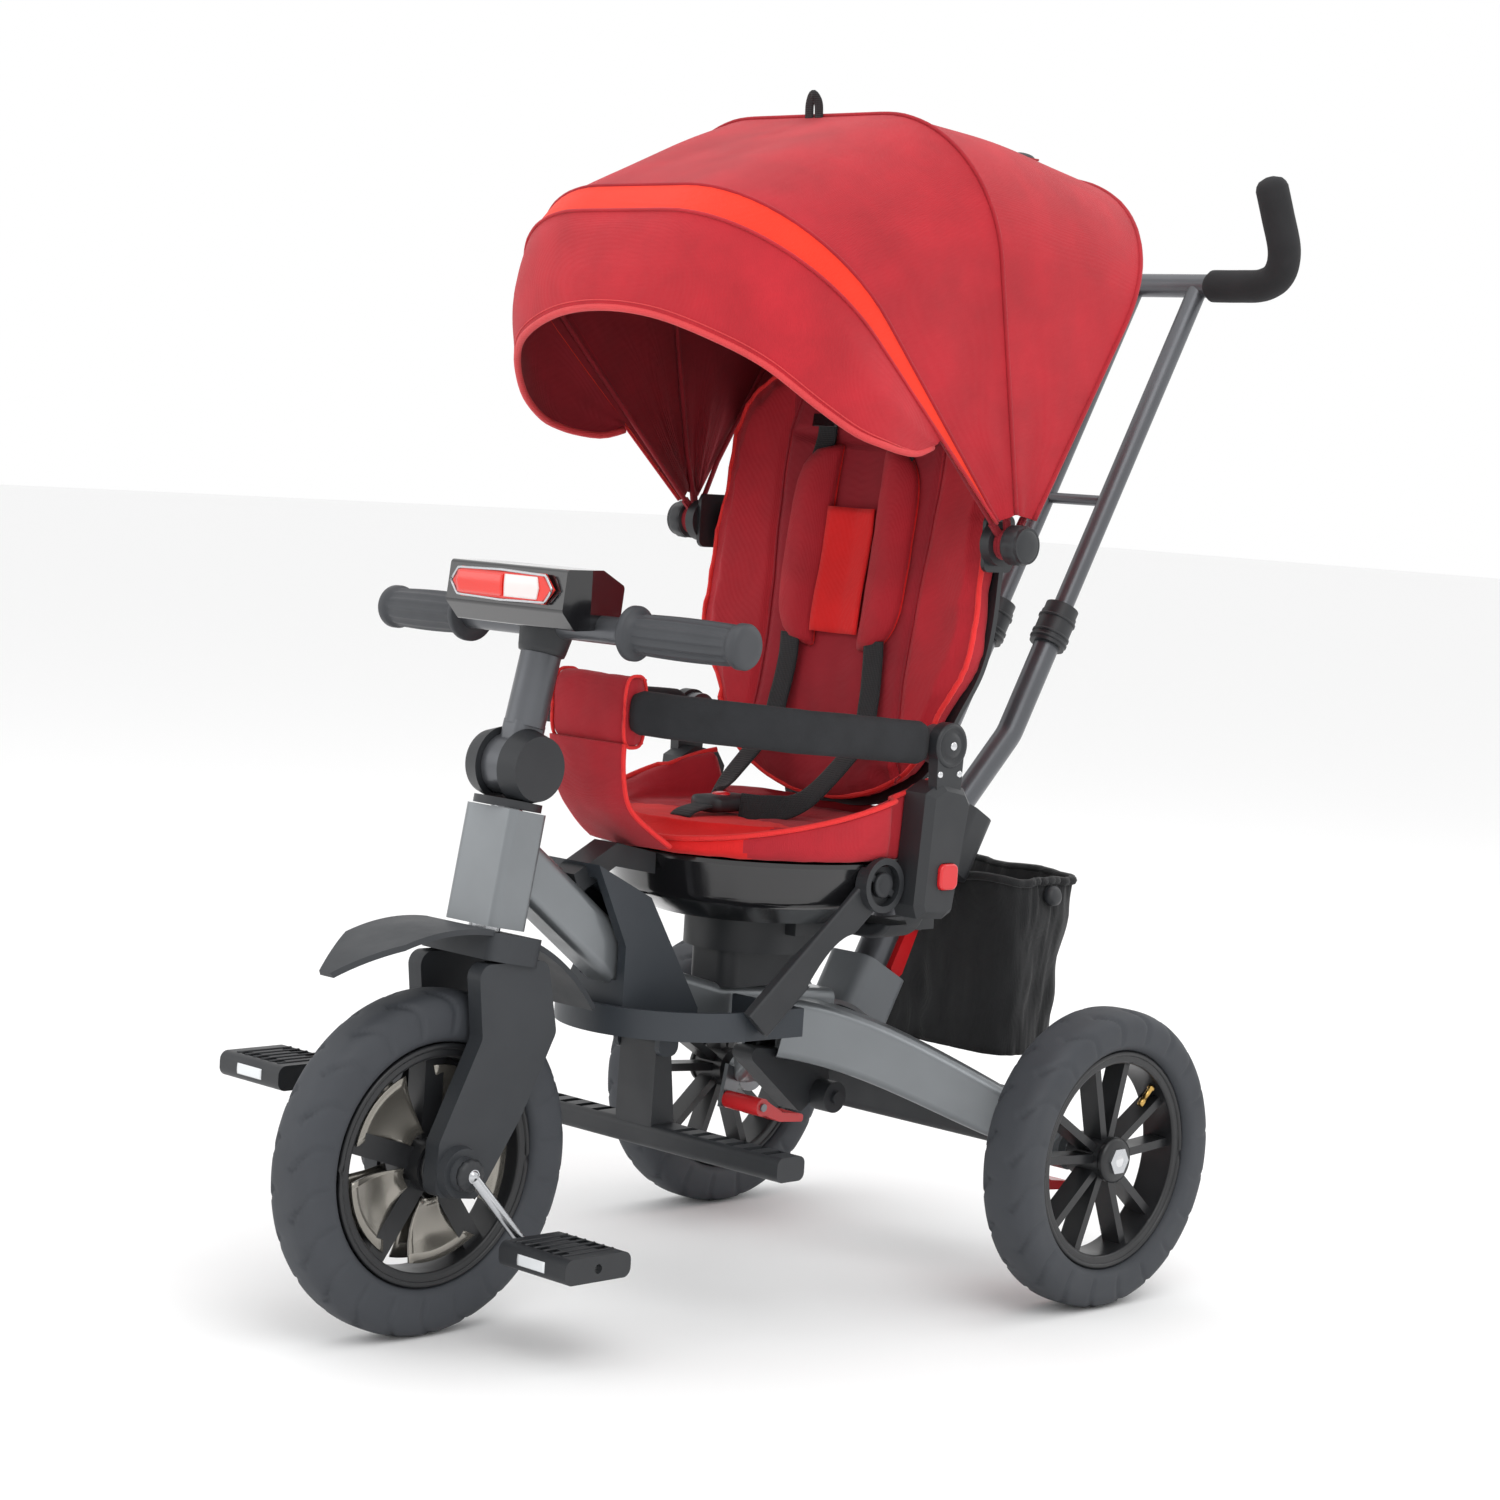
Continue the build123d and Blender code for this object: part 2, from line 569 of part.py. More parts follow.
PEDESTAL_FOOT = 282
CRADLE_OUTLINE = ((-156, 402), (-122, 342), (122, 342), (156, 402))
with BuildPart() as seat_cradle:
    with BuildLine(Plane(origin=(0, 42, 0), x_dir=(1, 0, 0), z_dir=(0, -1, 0))) as cradle_line:
        FilletPolyline(*CRADLE_OUTLINE, radius=24)
    with BuildSketch(Plane(origin=cradle_line.line @ 0, x_dir=(0, 1, 0), z_dir=cradle_line.line % 0)):
        RectangleRounded(46, 14, 4)
    sweep()
    with BuildSketch(Plane.XY.offset(335)):
        with Locations((0, 12)):
            Rectangle(150, 106)
    extrude(amount=14)
    for side in (1, -1):
        with BuildSketch(side_plane(side * 80)):
            Polygon((60, 335), (132, 335), (132, RECLINE_Z), (112, RECLINE_Z), (108, 349),
                    (60, 349), align=None)
        extrude(amount=side * 10)
        with BuildSketch(side_plane(side * 80)):
            with Locations((RECLINE_Y, RECLINE_Z)):
                Circle(14)
        extrude(amount=side * 10)
    with BuildSketch(side_plane(0)):
        with Locations((RECLINE_Y, RECLINE_Z)):
            Circle(AXLE_R)
    extrude(amount=92, both=True)
    with BuildSketch(Plane.XY.offset(PEDESTAL_FOOT)):
        with Locations((0, SEAT_Y)):
            RectangleRounded(58, 120, 16)
    extrude(amount=34)
    with BuildSketch(Plane.XY.offset(PEDESTAL_FOOT + 34)):
        with Locations((0, SEAT_Y)):
            Circle(66)
    extrude(amount=350 - PEDESTAL_FOOT - 34)
    with BuildSketch(side_plane(0)):
        Polygon((-264, 394), (-214, 420), (-164, 409), (-164, 390), (-214, 399), (-256, 376),
                align=None)
    extrude(amount=15, both=True)
    with BuildSketch(Plane.XY.offset(350)):
        with Locations((0, SEAT_Y)):
            Circle(SEAT_R + 0.3)
    extrude(amount=60, mode=Mode.SUBTRACT)
save(seat_cradle, "seat_cradle")

BLOCK_OUTLINE = ((9, 374), (16, 476), (36, 486), (66, 480), (76, 466), (60, 366), (48, 360), (14, 362))
BUTTON_Y, BUTTON_Z = 44, 400
with BuildPart() as side_blocks:
    for side in (1, -1):
        with BuildSketch(side_plane(side * 147)):
            Polygon(*BLOCK_OUTLINE, align=None)
        extrude(amount=side * 32)
    chamfer(side_blocks.faces().filter_by(Axis.X).group_by(Axis.X)[-1].edges(), 7)
    chamfer(side_blocks.faces().filter_by(Axis.X).group_by(Axis.X)[0].edges(), 7)
    for side in (1, -1):
        with BuildSketch(side_plane(side * 165)):
            with Locations((BUTTON_Y, BUTTON_Z)):
                RectangleRounded(25, 25, 7)
        extrude(amount=side * 20, mode=Mode.SUBTRACT)
        with BuildSketch(side_plane(side * 163.5)):
            with Locations((BAR_Y, BAR_Z)):
                Circle(21)
            Polygon((28, 468), (60, 468), (62, BAR_Z), (26, BAR_Z), align=None)
        extrude(amount=side * 11)
        with BuildSketch(side_plane(side * 150)):
            with Locations((BAR_Y, BAR_Z)):
                Circle(PIN_R)
        extrude(amount=side * 20)
save(side_blocks, "side_blocks")

for side, name in ((1, "left"), (-1, "right")):
    with BuildPart() as push_button:
        with BuildSketch(side_plane(side * 170)):
            with Locations((BUTTON_Y, BUTTON_Z)):
                RectangleRounded(24, 24, 6.5)
        extrude(amount=side * 13)
        fillet(push_button.faces().sort_by(Axis.X)[-1 if side > 0 else 0].edges(), 2.5)
    save(push_button, f"push_button_{name}")

# ---------------------------------------------------------------- footrest
TRAY_FLOOR, TRAY_RIM = 250, 276
TRAY_OUTLINE = ((108, -132), (0, -226), (-108, -132))
PEG_Y, PEG_Z = -150, 236
with BuildPart() as footrest_pan:
    with BuildSketch(Plane.XY.offset(TRAY_FLOOR)):
        with BuildLine():
            ThreePointArc(*TRAY_OUTLINE)
            Polyline((-108, -132), (-112, -62), (112, -62), (108, -132))
        make_face()
    extrude(amount=TRAY_RIM - TRAY_FLOOR)
    with BuildSketch(Plane.XY.offset(TRAY_FLOOR + 5)):
        with BuildLine():
            ThreePointArc((104, -130), (0, -221), (-104, -130))
            Polyline((-104, -130), (-107, -66), (107, -66), (104, -130))
        make_face()
    extrude(amount=40, mode=Mode.SUBTRACT)
    with BuildSketch(side_plane(0)):
        Polygon((-252, 404), (-186, 372), (-140, 300), (-120, 268), (-120, TRAY_FLOOR),
                (-214, TRAY_FLOOR), (-214, 330), align=None)
    extrude(amount=34, both=True)
    with BuildSketch(side_plane(0)):
        Polygon((-262, 399), (-190, 367), (-145, 299), (-124, 266), (-100, 240),
                (-100, 230), (-209, 230), (-209, 290), (-240, 340), align=None)
    extrude(amount=24, both=True, mode=Mode.SUBTRACT)
    with BuildSketch(Plane.XY.offset(TRAY_FLOOR - 1)):
        with Locations((0, -90)):
            Rectangle(48, 80)
    extrude(amount=60, mode=Mode.SUBTRACT)
    for side in (1, -1):
        with BuildSketch(side_plane(side * 24.4)):
            with BuildLine():
                FilletPolyline((PEG_Y - 12, 252), (PEG_Y - 12, PEG_Z - 11), (PEG_Y + 12, PEG_Z - 11),
                               (PEG_Y + 12, 252), radius=9, close=True)
            make_face()
        extrude(amount=side * 6)
    with BuildSketch(side_plane(0)):
        with Locations((PEG_Y, PEG_Z)):
            Circle(PIN_R)
    extrude(amount=25, both=True)
save(footrest_pan, "footrest_pan")

RING_Y, RING_Z = -17, 392
with BuildPart() as footrest_struts:
    for side in (1, -1):
        with BuildLine() as strut_line:
            Line((side * 116, -128, 266), (side * 147, -30, 380))
        strut_dir = Vector(side * 31, 98, 114)
        with BuildSketch(Plane(origin=strut_line.line @ 0, x_dir=(1, 0, 0), z_dir=strut_dir)):
            RectangleRounded(12, 32, 3)
        sweep()
        with BuildSketch(side_plane(side * 136)):
            with Locations((RING_Y, RING_Z)):
                Circle(25)
        extrude(amount=side * 24)
        with BuildSketch(side_plane(side * 152)):
            with Locations((RING_Y, RING_Z)):
                Circle(19)
        extrude(amount=side * 12, mode=Mode.SUBTRACT)
        with BuildSketch(side_plane(side * 156)):
            with Locations((RING_Y, RING_Z)):
                with Locations(Rotation(0, 0, 150)):
                    Rectangle(36, 6)
        extrude(amount=-side * 6)
    with BuildSketch(Plane.XY.offset(300)):
        with Locations((0, SEAT_Y)):
            Circle(SEAT_R + 0.3)
    extrude(amount=SEAT_Z - 300, mode=Mode.SUBTRACT)
    with BuildSketch(Plane.XY.offset(SEAT_Z - 2)):
        with Locations((0, SEAT_Y)):
            Circle(SEAT_R + 5.5)
    extrude(amount=20, mode=Mode.SUBTRACT)
    with BuildSketch(Plane.XY.offset(TRAY_FLOOR - 10)):
        with Locations((0, -100)):
            Rectangle(224.4, 120)
    extrude(amount=50, mode=Mode.SUBTRACT)
save(footrest_struts, "footrest_struts")

PEG_BAR_Z, PEG_BAR_HALF = 151, 187
with BuildPart() as foot_pegs:
    with BuildSketch(side_plane(0)):
        with Locations((PEG_Y + 5, PEG_BAR_Z)):
            RectangleRounded(34, 22, 7)
    extrude(amount=PEG_BAR_HALF, both=True)
    with BuildSketch(side_plane(0)):
        with BuildLine():
            Polyline((PEG_Y - 9, PEG_Z), (PEG_Y - 10, PEG_BAR_Z), (PEG_Y + 20, PEG_BAR_Z),
                     (PEG_Y + 9, PEG_Z), close=True)
        make_face()
        with Locations((PEG_Y, PEG_Z)):
            Circle(9)
            Circle(PIN_R + RUN, mode=Mode.SUBTRACT)
    extrude(amount=23.6, both=True)
    with BuildSketch(Plane.XY.offset(PEG_BAR_Z + 8)):
        for side in (1, -1):
            with Locations((side * 110, PEG_Y + 5)):
                with GridLocations(22, 1, 6, 1):
                    Rectangle(9, 24)
    extrude(amount=10, mode=Mode.SUBTRACT)
save(foot_pegs, "foot_pegs")

# ---------------------------------------------------------------- brakes
for side, name in ((1, "left"), (-1, "right")):
    with BuildPart() as brake_pedal:
        with BuildSketch(side_plane(side * 152)):
            with BuildLine():
                FilletPolyline((160, 122), (172, 122), (196, 108), (226, 104), (226, 96),
                               (192, 99), (158, 112), radius=3, close=True)
            make_face()
        extrude(amount=side * 50)
        with BuildSketch(side_plane(side * 152)):
            with Locations((166, 116)):
                Circle(9)
        extrude(amount=side * 50)
        with BuildSketch(side_plane(side * 150)):
            with Locations((166, 116)):
                Circle(PIN_R + RUN)
        extrude(amount=side * 60, mode=Mode.SUBTRACT)
    save(brake_pedal, f"brake_pedal_{name}")

# ---------------------------------------------------------------- safety bar
bar_plane = Plane(origin=(0, BAR_Y, BAR_Z), x_dir=(1, 0, 0), z_dir=(0, 0.075, 0.9972))
PAD_TURN = 14.0
BAR_DROP = BAR_REACH - BAR_CORNER
FLAT_HALF = BAR_HALF - BAR_CORNER


with BuildPart() as safety_bar:
    with BuildLine(bar_plane) as bar_line:
        FilletPolyline((BAR_HALF, 0), (BAR_HALF, -BAR_REACH), (-BAR_HALF, -BAR_REACH),
                       (-BAR_HALF, 0), radius=BAR_CORNER)
    with BuildSketch(Plane(origin=bar_line.line @ 0, x_dir=(1, 0, 0), z_dir=bar_line.line % 0)):
        Circle(8)
        Circle(6.5, mode=Mode.SUBTRACT)
    sweep()
    for side in (1, -1):
        with BuildSketch(side_plane(side * 151)):
            with Locations((BAR_Y, BAR_Z)):
                Circle(18)
        extrude(amount=side * 12)
    with BuildSketch(side_plane(0)):
        with Locations((BAR_Y, BAR_Z)):
            Circle(PIN_R + RUN)
    extrude(amount=200, both=True, mode=Mode.SUBTRACT)
    for side in (1, -1):
        with BuildSketch(side_plane(side * 163)):
            with Locations((BAR_Y, BAR_Z)):
                Circle(24)
        extrude(amount=side * 10, mode=Mode.SUBTRACT)
save(safety_bar, "safety_bar")


with BuildPart() as bar_foam:
    for side in (1, -1):
        with BuildLine(bar_plane) as foam_line:
            Line((side * BAR_HALF, -26), (side * BAR_HALF, -BAR_DROP))
            if side > 0:
                CenterArc((FLAT_HALF, -BAR_DROP), BAR_CORNER, 0, PAD_TURN - 90)
            else:
                CenterArc((-FLAT_HALF, -BAR_DROP), BAR_CORNER, 180, 90 - PAD_TURN)
        foam_start = bar_plane.from_local_coords((side * BAR_HALF, -26, 0))
        with BuildSketch(Plane(origin=foam_start, x_dir=(1, 0, 0), z_dir=-bar_plane.y_dir)):
            RectangleRounded(24, 40, 11)
            Circle(8, mode=Mode.SUBTRACT)
        sweep()
save(bar_foam, "bar_foam")

with BuildPart() as bar_pad:
    with BuildLine(bar_plane) as pad_line:
        CenterArc((FLAT_HALF, -BAR_DROP), BAR_CORNER, -90 + PAD_TURN - 0.4, -PAD_TURN + 0.4)
        Line((FLAT_HALF, -BAR_REACH), (-FLAT_HALF, -BAR_REACH))
        CenterArc((-FLAT_HALF, -BAR_DROP), BAR_CORNER, -90, -PAD_TURN + 0.4)
    pad_turn = radians(PAD_TURN - 0.4)
    pad_start = bar_plane.from_local_coords(
        (FLAT_HALF + BAR_CORNER * sin(pad_turn), -BAR_DROP - BAR_CORNER * cos(pad_turn), 0)
    )
    pad_dir = -bar_plane.x_dir * cos(pad_turn) - bar_plane.y_dir * sin(pad_turn)
    with BuildSketch(Plane(origin=pad_start, x_dir=bar_plane.z_dir, z_dir=pad_dir)):
        RectangleRounded(62, 30, 12)
        Circle(8, mode=Mode.SUBTRACT)
    sweep()
save(bar_pad, "bar_pad")

with BuildPart() as crotch_panel:
    with BuildSketch(side_plane(0)):
        with BuildLine():
            FilletPolyline((-241, 509), (-231, 455), (-183, 418), (-178, 424), (-223, 459), (-232, 509),
                           radius=2, close=True)
        make_face()
    extrude(amount=50, both=True)
save(crotch_panel, "crotch_panel")

# ---------------------------------------------------------------- soft seat
PAD_TOP_FRONT = 425
with BuildPart() as seat_pad:
    with BuildSketch(Plane(origin=(0, SEAT_Y, 0), x_dir=(1, 0, 0), z_dir=(0, -1, 0))):
        Polygon((0, SEAT_Z + 0.3), (150, SEAT_Z + 0.3), (168, 500), (147, 500), (130, 437), (0, 437),
                align=None)
    revolve(axis=Axis((0, SEAT_Y, 0), (0, 0, 1)))
    with BuildSketch(side_plane(0)):
        Polygon((-200, 400), (-200, 417), (-168, PAD_TOP_FRONT), (60, 484), (88, 484), (88, 400),
                align=None)
    extrude(amount=200, both=True, mode=Mode.INTERSECT)
    for side in (1, -1):
        with BuildSketch(side_plane(side * 146.7)):
            Polygon((-1, 350), (79, 350), (79, 500), (-1, 500), align=None)
        extrude(amount=side * 40, mode=Mode.SUBTRACT)
    with BuildSketch(side_plane(0)):
        Polygon((24, 446), (24, 510), (90, 510), (90, 446), align=None)
    extrude(amount=128, both=True, mode=Mode.SUBTRACT)
save(seat_pad, "seat_pad")

# ---------------------------------------------------------------- backrest
lean = radians(BACK_LEAN)
back_origin = (0, BACK_Y + 92 * sin(lean) / cos(lean), BACK_Z + 92)
back_plane = Plane(origin=back_origin, x_dir=(1, 0, 0), z_dir=(0, -cos(lean), sin(lean)))
back_cross = Plane(origin=back_origin, x_dir=(1, 0, 0), z_dir=back_plane.y_dir)
BACK_OUTLINE = ((0, -112), (92, -94), (134, -58), (150, -22), (174, 20), (180, 143), (170, 258),
                (146, 295), (106, 309), (0, 312))
HOLLOW_CENTRE = BACK_HOLLOW - 20


def back_layer(front, rear, outline):
    """Curved layer of the backrest between two depths behind its hollow front face."""
    with BuildPart() as layer:
        with BuildSketch(back_plane.offset(-120)):
            with BuildLine():
                Spline(*outline)
                Spline(*[(-x, y) for x, y in outline])
            make_face()
        extrude(amount=240)
        with BuildSketch(back_cross.offset(-160)):
            with Locations((0, -HOLLOW_CENTRE)):
                Circle(BACK_HOLLOW + rear)
                Circle(BACK_HOLLOW + front, mode=Mode.SUBTRACT)
        extrude(amount=520, mode=Mode.INTERSECT)
    return layer


with BuildPart() as backrest_pad:
    add(back_layer(0, 24, BACK_OUTLINE).part)
save(backrest_pad, "backrest_pad")

SHELL_OUTLINE = [(x * 0.985, y * 0.985 + 1) for x, y in BACK_OUTLINE]
with BuildPart() as backrest_shell:
    add(back_layer(24.4, 30, SHELL_OUTLINE).part)
    for side in (1, -1):
        with BuildSketch(side_plane(side * 44)):
            Polygon((80, 478), (94, 556), (102, 556), (132, RECLINE_Z), (118, 438), (104, RECLINE_Z),
                    align=None)
            with Locations((RECLINE_Y, RECLINE_Z)):
                Circle(14)
        extrude(amount=side * 24)
    with BuildSketch(side_plane(0)):
        with Locations((RECLINE_Y, RECLINE_Z)):
            Circle(AXLE_R + RUN)
    extrude(amount=90, both=True, mode=Mode.SUBTRACT)
save(backrest_shell, "backrest_shell")

STRAP_X, STRAP_WIDTH = 54, 46
with BuildPart() as shoulder_pads:
    with BuildSketch(back_plane.offset(-120)):
        for side in (1, -1):
            with Locations((side * STRAP_X, 130)):
                RectangleRounded(STRAP_WIDTH, 196, 20)
    extrude(amount=240)
    with BuildSketch(back_cross.offset(-160)):
        with Locations((0, -HOLLOW_CENTRE)):
            Circle(BACK_HOLLOW - 0.3)
            Circle(BACK_HOLLOW - 14, mode=Mode.SUBTRACT)
    extrude(amount=520, mode=Mode.INTERSECT)
save(shoulder_pads, "shoulder_pads")

# ---------------------------------------------------------------- canopy
CANOPY_PIN_R = 5.0
with BuildPart() as canopy_hinges:
    for side in (1, -1):
        with BuildSketch(side_plane(side * 182.4)):
            with Locations((CANOPY_Y + 7, CANOPY_Z)):
                RectangleRounded(40, 52, 8)
        extrude(amount=side * 4)
        with BuildSketch(side_plane(side * 176)):
            with Locations((96.2, CANOPY_Z)):
                Rectangle(5, 30)
        extrude(amount=side * 7)
        with BuildSketch(side_plane(side * 186)):
            with Locations((CANOPY_Y, CANOPY_Z)):
                Circle(20)
        extrude(amount=side * 10.6)
        with BuildSketch(side_plane(side * 196)):
            with Locations((CANOPY_Y, CANOPY_Z)):
                Circle(CANOPY_PIN_R)
        extrude(amount=side * 13)
        with BuildSketch(side_plane(side * 208.4)):
            with Locations((CANOPY_Y, CANOPY_Z)):
                Circle(18)
        extrude(amount=side * 17.6, taper=5)
save(canopy_hinges, "canopy_hinges")

REAR_ANGLE, MID_ANGLE, FRONT_ANGLE = 31.0, -11.0, -46.5   # ribs, back from upright
REAR_HALF, MID_HALF, BAND_HALF = 219.0, 214.0, 205.0      # half widths of the cover at each rib
REAR_APEX, MID_APEX, BAND_APEX = 408.0, 386.0, 411.0      # hinge axis to the cover's top
CLOTH = 3.0
WIRE_R = 2.5


def rib_plane(angle):
    """Plane through the canopy's hinge axis: local x across, local y out along the rib."""
    turn = radians(angle)
    return Plane(
        origin=(0, CANOPY_Y, CANOPY_Z), x_dir=(1, 0, 0), z_dir=(0, -cos(turn), sin(turn))
    )


RIBS = (
    ("rear", REAR_ANGLE, REAR_HALF, REAR_APEX, 168, 206.2),
    ("mid", MID_ANGLE, MID_HALF, MID_APEX, 130, 202.5),
    ("front", FRONT_ANGLE, BAND_HALF, BAND_APEX, 150, 198.6),
)
for name, angle, half, apex, corner, eye in RIBS:
    rib_at = rib_plane(angle)
    wire_half, wire_apex = half - CLOTH - WIRE_R - 1, apex - CLOTH - WIRE_R - 1
    with BuildPart() as rib:
        with BuildLine(rib_at) as wire_line:
            FilletPolyline((wire_half, 68), (wire_half, wire_apex), (-wire_half, wire_apex),
                           (-wire_half, 68), radius=corner)
            Line((eye, 22), (wire_half, 68))
            Line((-wire_half, 68), (-eye, 22))
        wire_start = rib_at.from_local_coords((eye, 22, 0))
        with BuildSketch(Plane(origin=wire_start, x_dir=rib_at.z_dir,
                               z_dir=wire_line.line % 0)):
            Circle(WIRE_R)
        sweep(transition=Transition.ROUND)
        for side in (1, -1):
            with BuildSketch(side_plane(side * (eye - 1.7))):
                with Locations((CANOPY_Y, CANOPY_Z)):
                    Circle(14)
                    with Locations(Rotation(0, 0, 90 - angle)):
                        with Locations((16, 0)):
                            Rectangle(24, 7)
                    Circle(CANOPY_PIN_R + RUN, mode=Mode.SUBTRACT)
            extrude(amount=side * 3.4)
    save(rib, f"canopy_rib_{name}")


def cover_band(angle, half, apex, corner, foot):
    """U-shaped face of the canopy cover in one plane through the hinge axis."""
    with BuildSketch(rib_plane(angle)) as band:
        with BuildLine():
            outside = FilletPolyline((half, foot), (half, apex), (-half, apex), (-half, foot),
                                     radius=corner)
            inside = FilletPolyline((half - CLOTH, foot), (half - CLOTH, apex - CLOTH),
                                    (CLOTH - half, apex - CLOTH), (CLOTH - half, foot),
                                    radius=corner - CLOTH)
            Line(outside @ 0, inside @ 0)
            Line(outside @ 1, inside @ 1)
        make_face()
    return band.sketch.face()


with BuildPart() as canopy_panel_rear:
    rear_edge = cover_band(REAR_ANGLE, REAR_HALF, REAR_APEX, 168, 26)
    seam_edge = cover_band(MID_ANGLE + 0.3, MID_HALF, MID_APEX, 130, 26)
    loft([rear_edge, seam_edge])
save(canopy_panel_rear, "canopy_panel_rear")

with BuildPart() as canopy_panel_front:
    seam_edge = cover_band(MID_ANGLE - 0.3, MID_HALF, MID_APEX, 130, 26)
    front_edge = cover_band(FRONT_ANGLE + 2.6, BAND_HALF, BAND_APEX, 150, 26)
    loft([seam_edge, front_edge])
save(canopy_panel_front, "canopy_panel_front")

with BuildPart() as canopy_visor:
    band_rear = cover_band(FRONT_ANGLE + 2.2, BAND_HALF, BAND_APEX, 150, 26)
    band_front = cover_band(FRONT_ANGLE - 2.2, BAND_HALF, BAND_APEX, 150, 30)
    visor_edge = cover_band(FRONT_ANGLE - 15.5, 212, 376, 172, 132)
    loft([band_rear, band_front])
    loft([band_front, visor_edge])
save(canopy_visor, "canopy_visor")

with BuildPart() as canopy_back:
    with BuildSketch(rib_plane(REAR_ANGLE).offset(-6.2)):
        with BuildLine():
            back_edge = FilletPolyline((REAR_HALF - 4, 118), (REAR_HALF - 4, REAR_APEX - 4),
                                       (4 - REAR_HALF, REAR_APEX - 4), (4 - REAR_HALF, 118), radius=166)
            Line(back_edge @ 0, back_edge @ 1)
        make_face()
    extrude(amount=CLOTH)
save(canopy_back, "canopy_back")

# ---------------------------------------------------------------- basket
with BuildPart() as basket:
    with BuildSketch(Plane.XY.offset(206)):
        with Locations((0, 274)):
            RectangleRounded(206, 96, 18)
    with BuildSketch(Plane.XY.offset(385)):
        with Locations((0, 276)):
            RectangleRounded(230, 110, 20)
    loft()
    with BuildSketch(Plane.XY.offset(210)):
        with Locations((0, 274)):
            RectangleRounded(198, 88, 15)
    with BuildSketch(Plane.XY.offset(386)):
        with Locations((0, 276)):
            RectangleRounded(222, 102, 17)
    loft(mode=Mode.SUBTRACT)
    with BuildSketch(handle_post_plane.offset(93.7)):
        with Locations((0, 4)):
            RectangleRounded(116.6, 46.6, 14)
    extrude(amount=70, mode=Mode.SUBTRACT)
save(basket, "basket")
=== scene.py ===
import math

import bmesh
import bpy
import numpy as np
from mathutils import Matrix, Vector, noise
from mathutils.bvhtree import BVHTree


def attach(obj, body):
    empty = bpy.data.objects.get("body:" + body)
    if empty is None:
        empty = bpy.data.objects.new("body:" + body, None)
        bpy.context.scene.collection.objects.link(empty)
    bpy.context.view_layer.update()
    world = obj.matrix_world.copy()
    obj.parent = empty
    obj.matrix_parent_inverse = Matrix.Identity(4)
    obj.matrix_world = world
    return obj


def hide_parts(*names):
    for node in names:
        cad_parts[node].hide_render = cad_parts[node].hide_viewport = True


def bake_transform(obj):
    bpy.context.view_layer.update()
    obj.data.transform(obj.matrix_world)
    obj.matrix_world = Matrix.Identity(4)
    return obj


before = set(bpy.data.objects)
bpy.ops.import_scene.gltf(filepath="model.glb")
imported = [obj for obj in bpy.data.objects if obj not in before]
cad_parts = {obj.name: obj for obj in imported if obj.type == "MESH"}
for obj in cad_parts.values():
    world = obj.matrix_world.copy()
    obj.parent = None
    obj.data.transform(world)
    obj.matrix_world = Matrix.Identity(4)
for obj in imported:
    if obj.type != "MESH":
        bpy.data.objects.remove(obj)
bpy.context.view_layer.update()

# ---------------------------------------------------------------- places, in millimetres
SHIFT = 4.5                       # the part's own shift along Y
FRONT_Y, REAR_Y = -408.0, 200.0
HINGE_Y, HINGE_Z = 70.0, 704.0    # hood hinges
SEAT_Y = -18.0
BACK_ORIGIN = (0.0, 48.03, 562.0)
BACK_LEAN = math.radians(7.57)
BAR_Y, BAR_Z, BAR_HALF = 44.0, 519.0, 158.0
BAR_REACH, BAR_CORNER = 277.0, 135.0
HANDLE_LEAN = math.radians(28.78)


def at(x, y, z):
    """Row-frame point, in metres, from the part's own drawing coordinates in millimetres."""
    return Vector((x / 1000, (y + SHIFT) / 1000, z / 1000))


def lerp(a, b, t):
    return a + (b - a) * t


def smooth_step(t):
    t = min(max(t, 0.0), 1.0)
    return t * t * (3 - 2 * t)


def linear(red, green, blue):
    """Scene colour from an ordinary 0 to 255 screen colour."""
    return tuple(
        c / 12.92 if c <= 0.04045 else ((c + 0.055) / 1.055) ** 2.4
        for c in (red / 255, green / 255, blue / 255)
    ) + (1.0,)


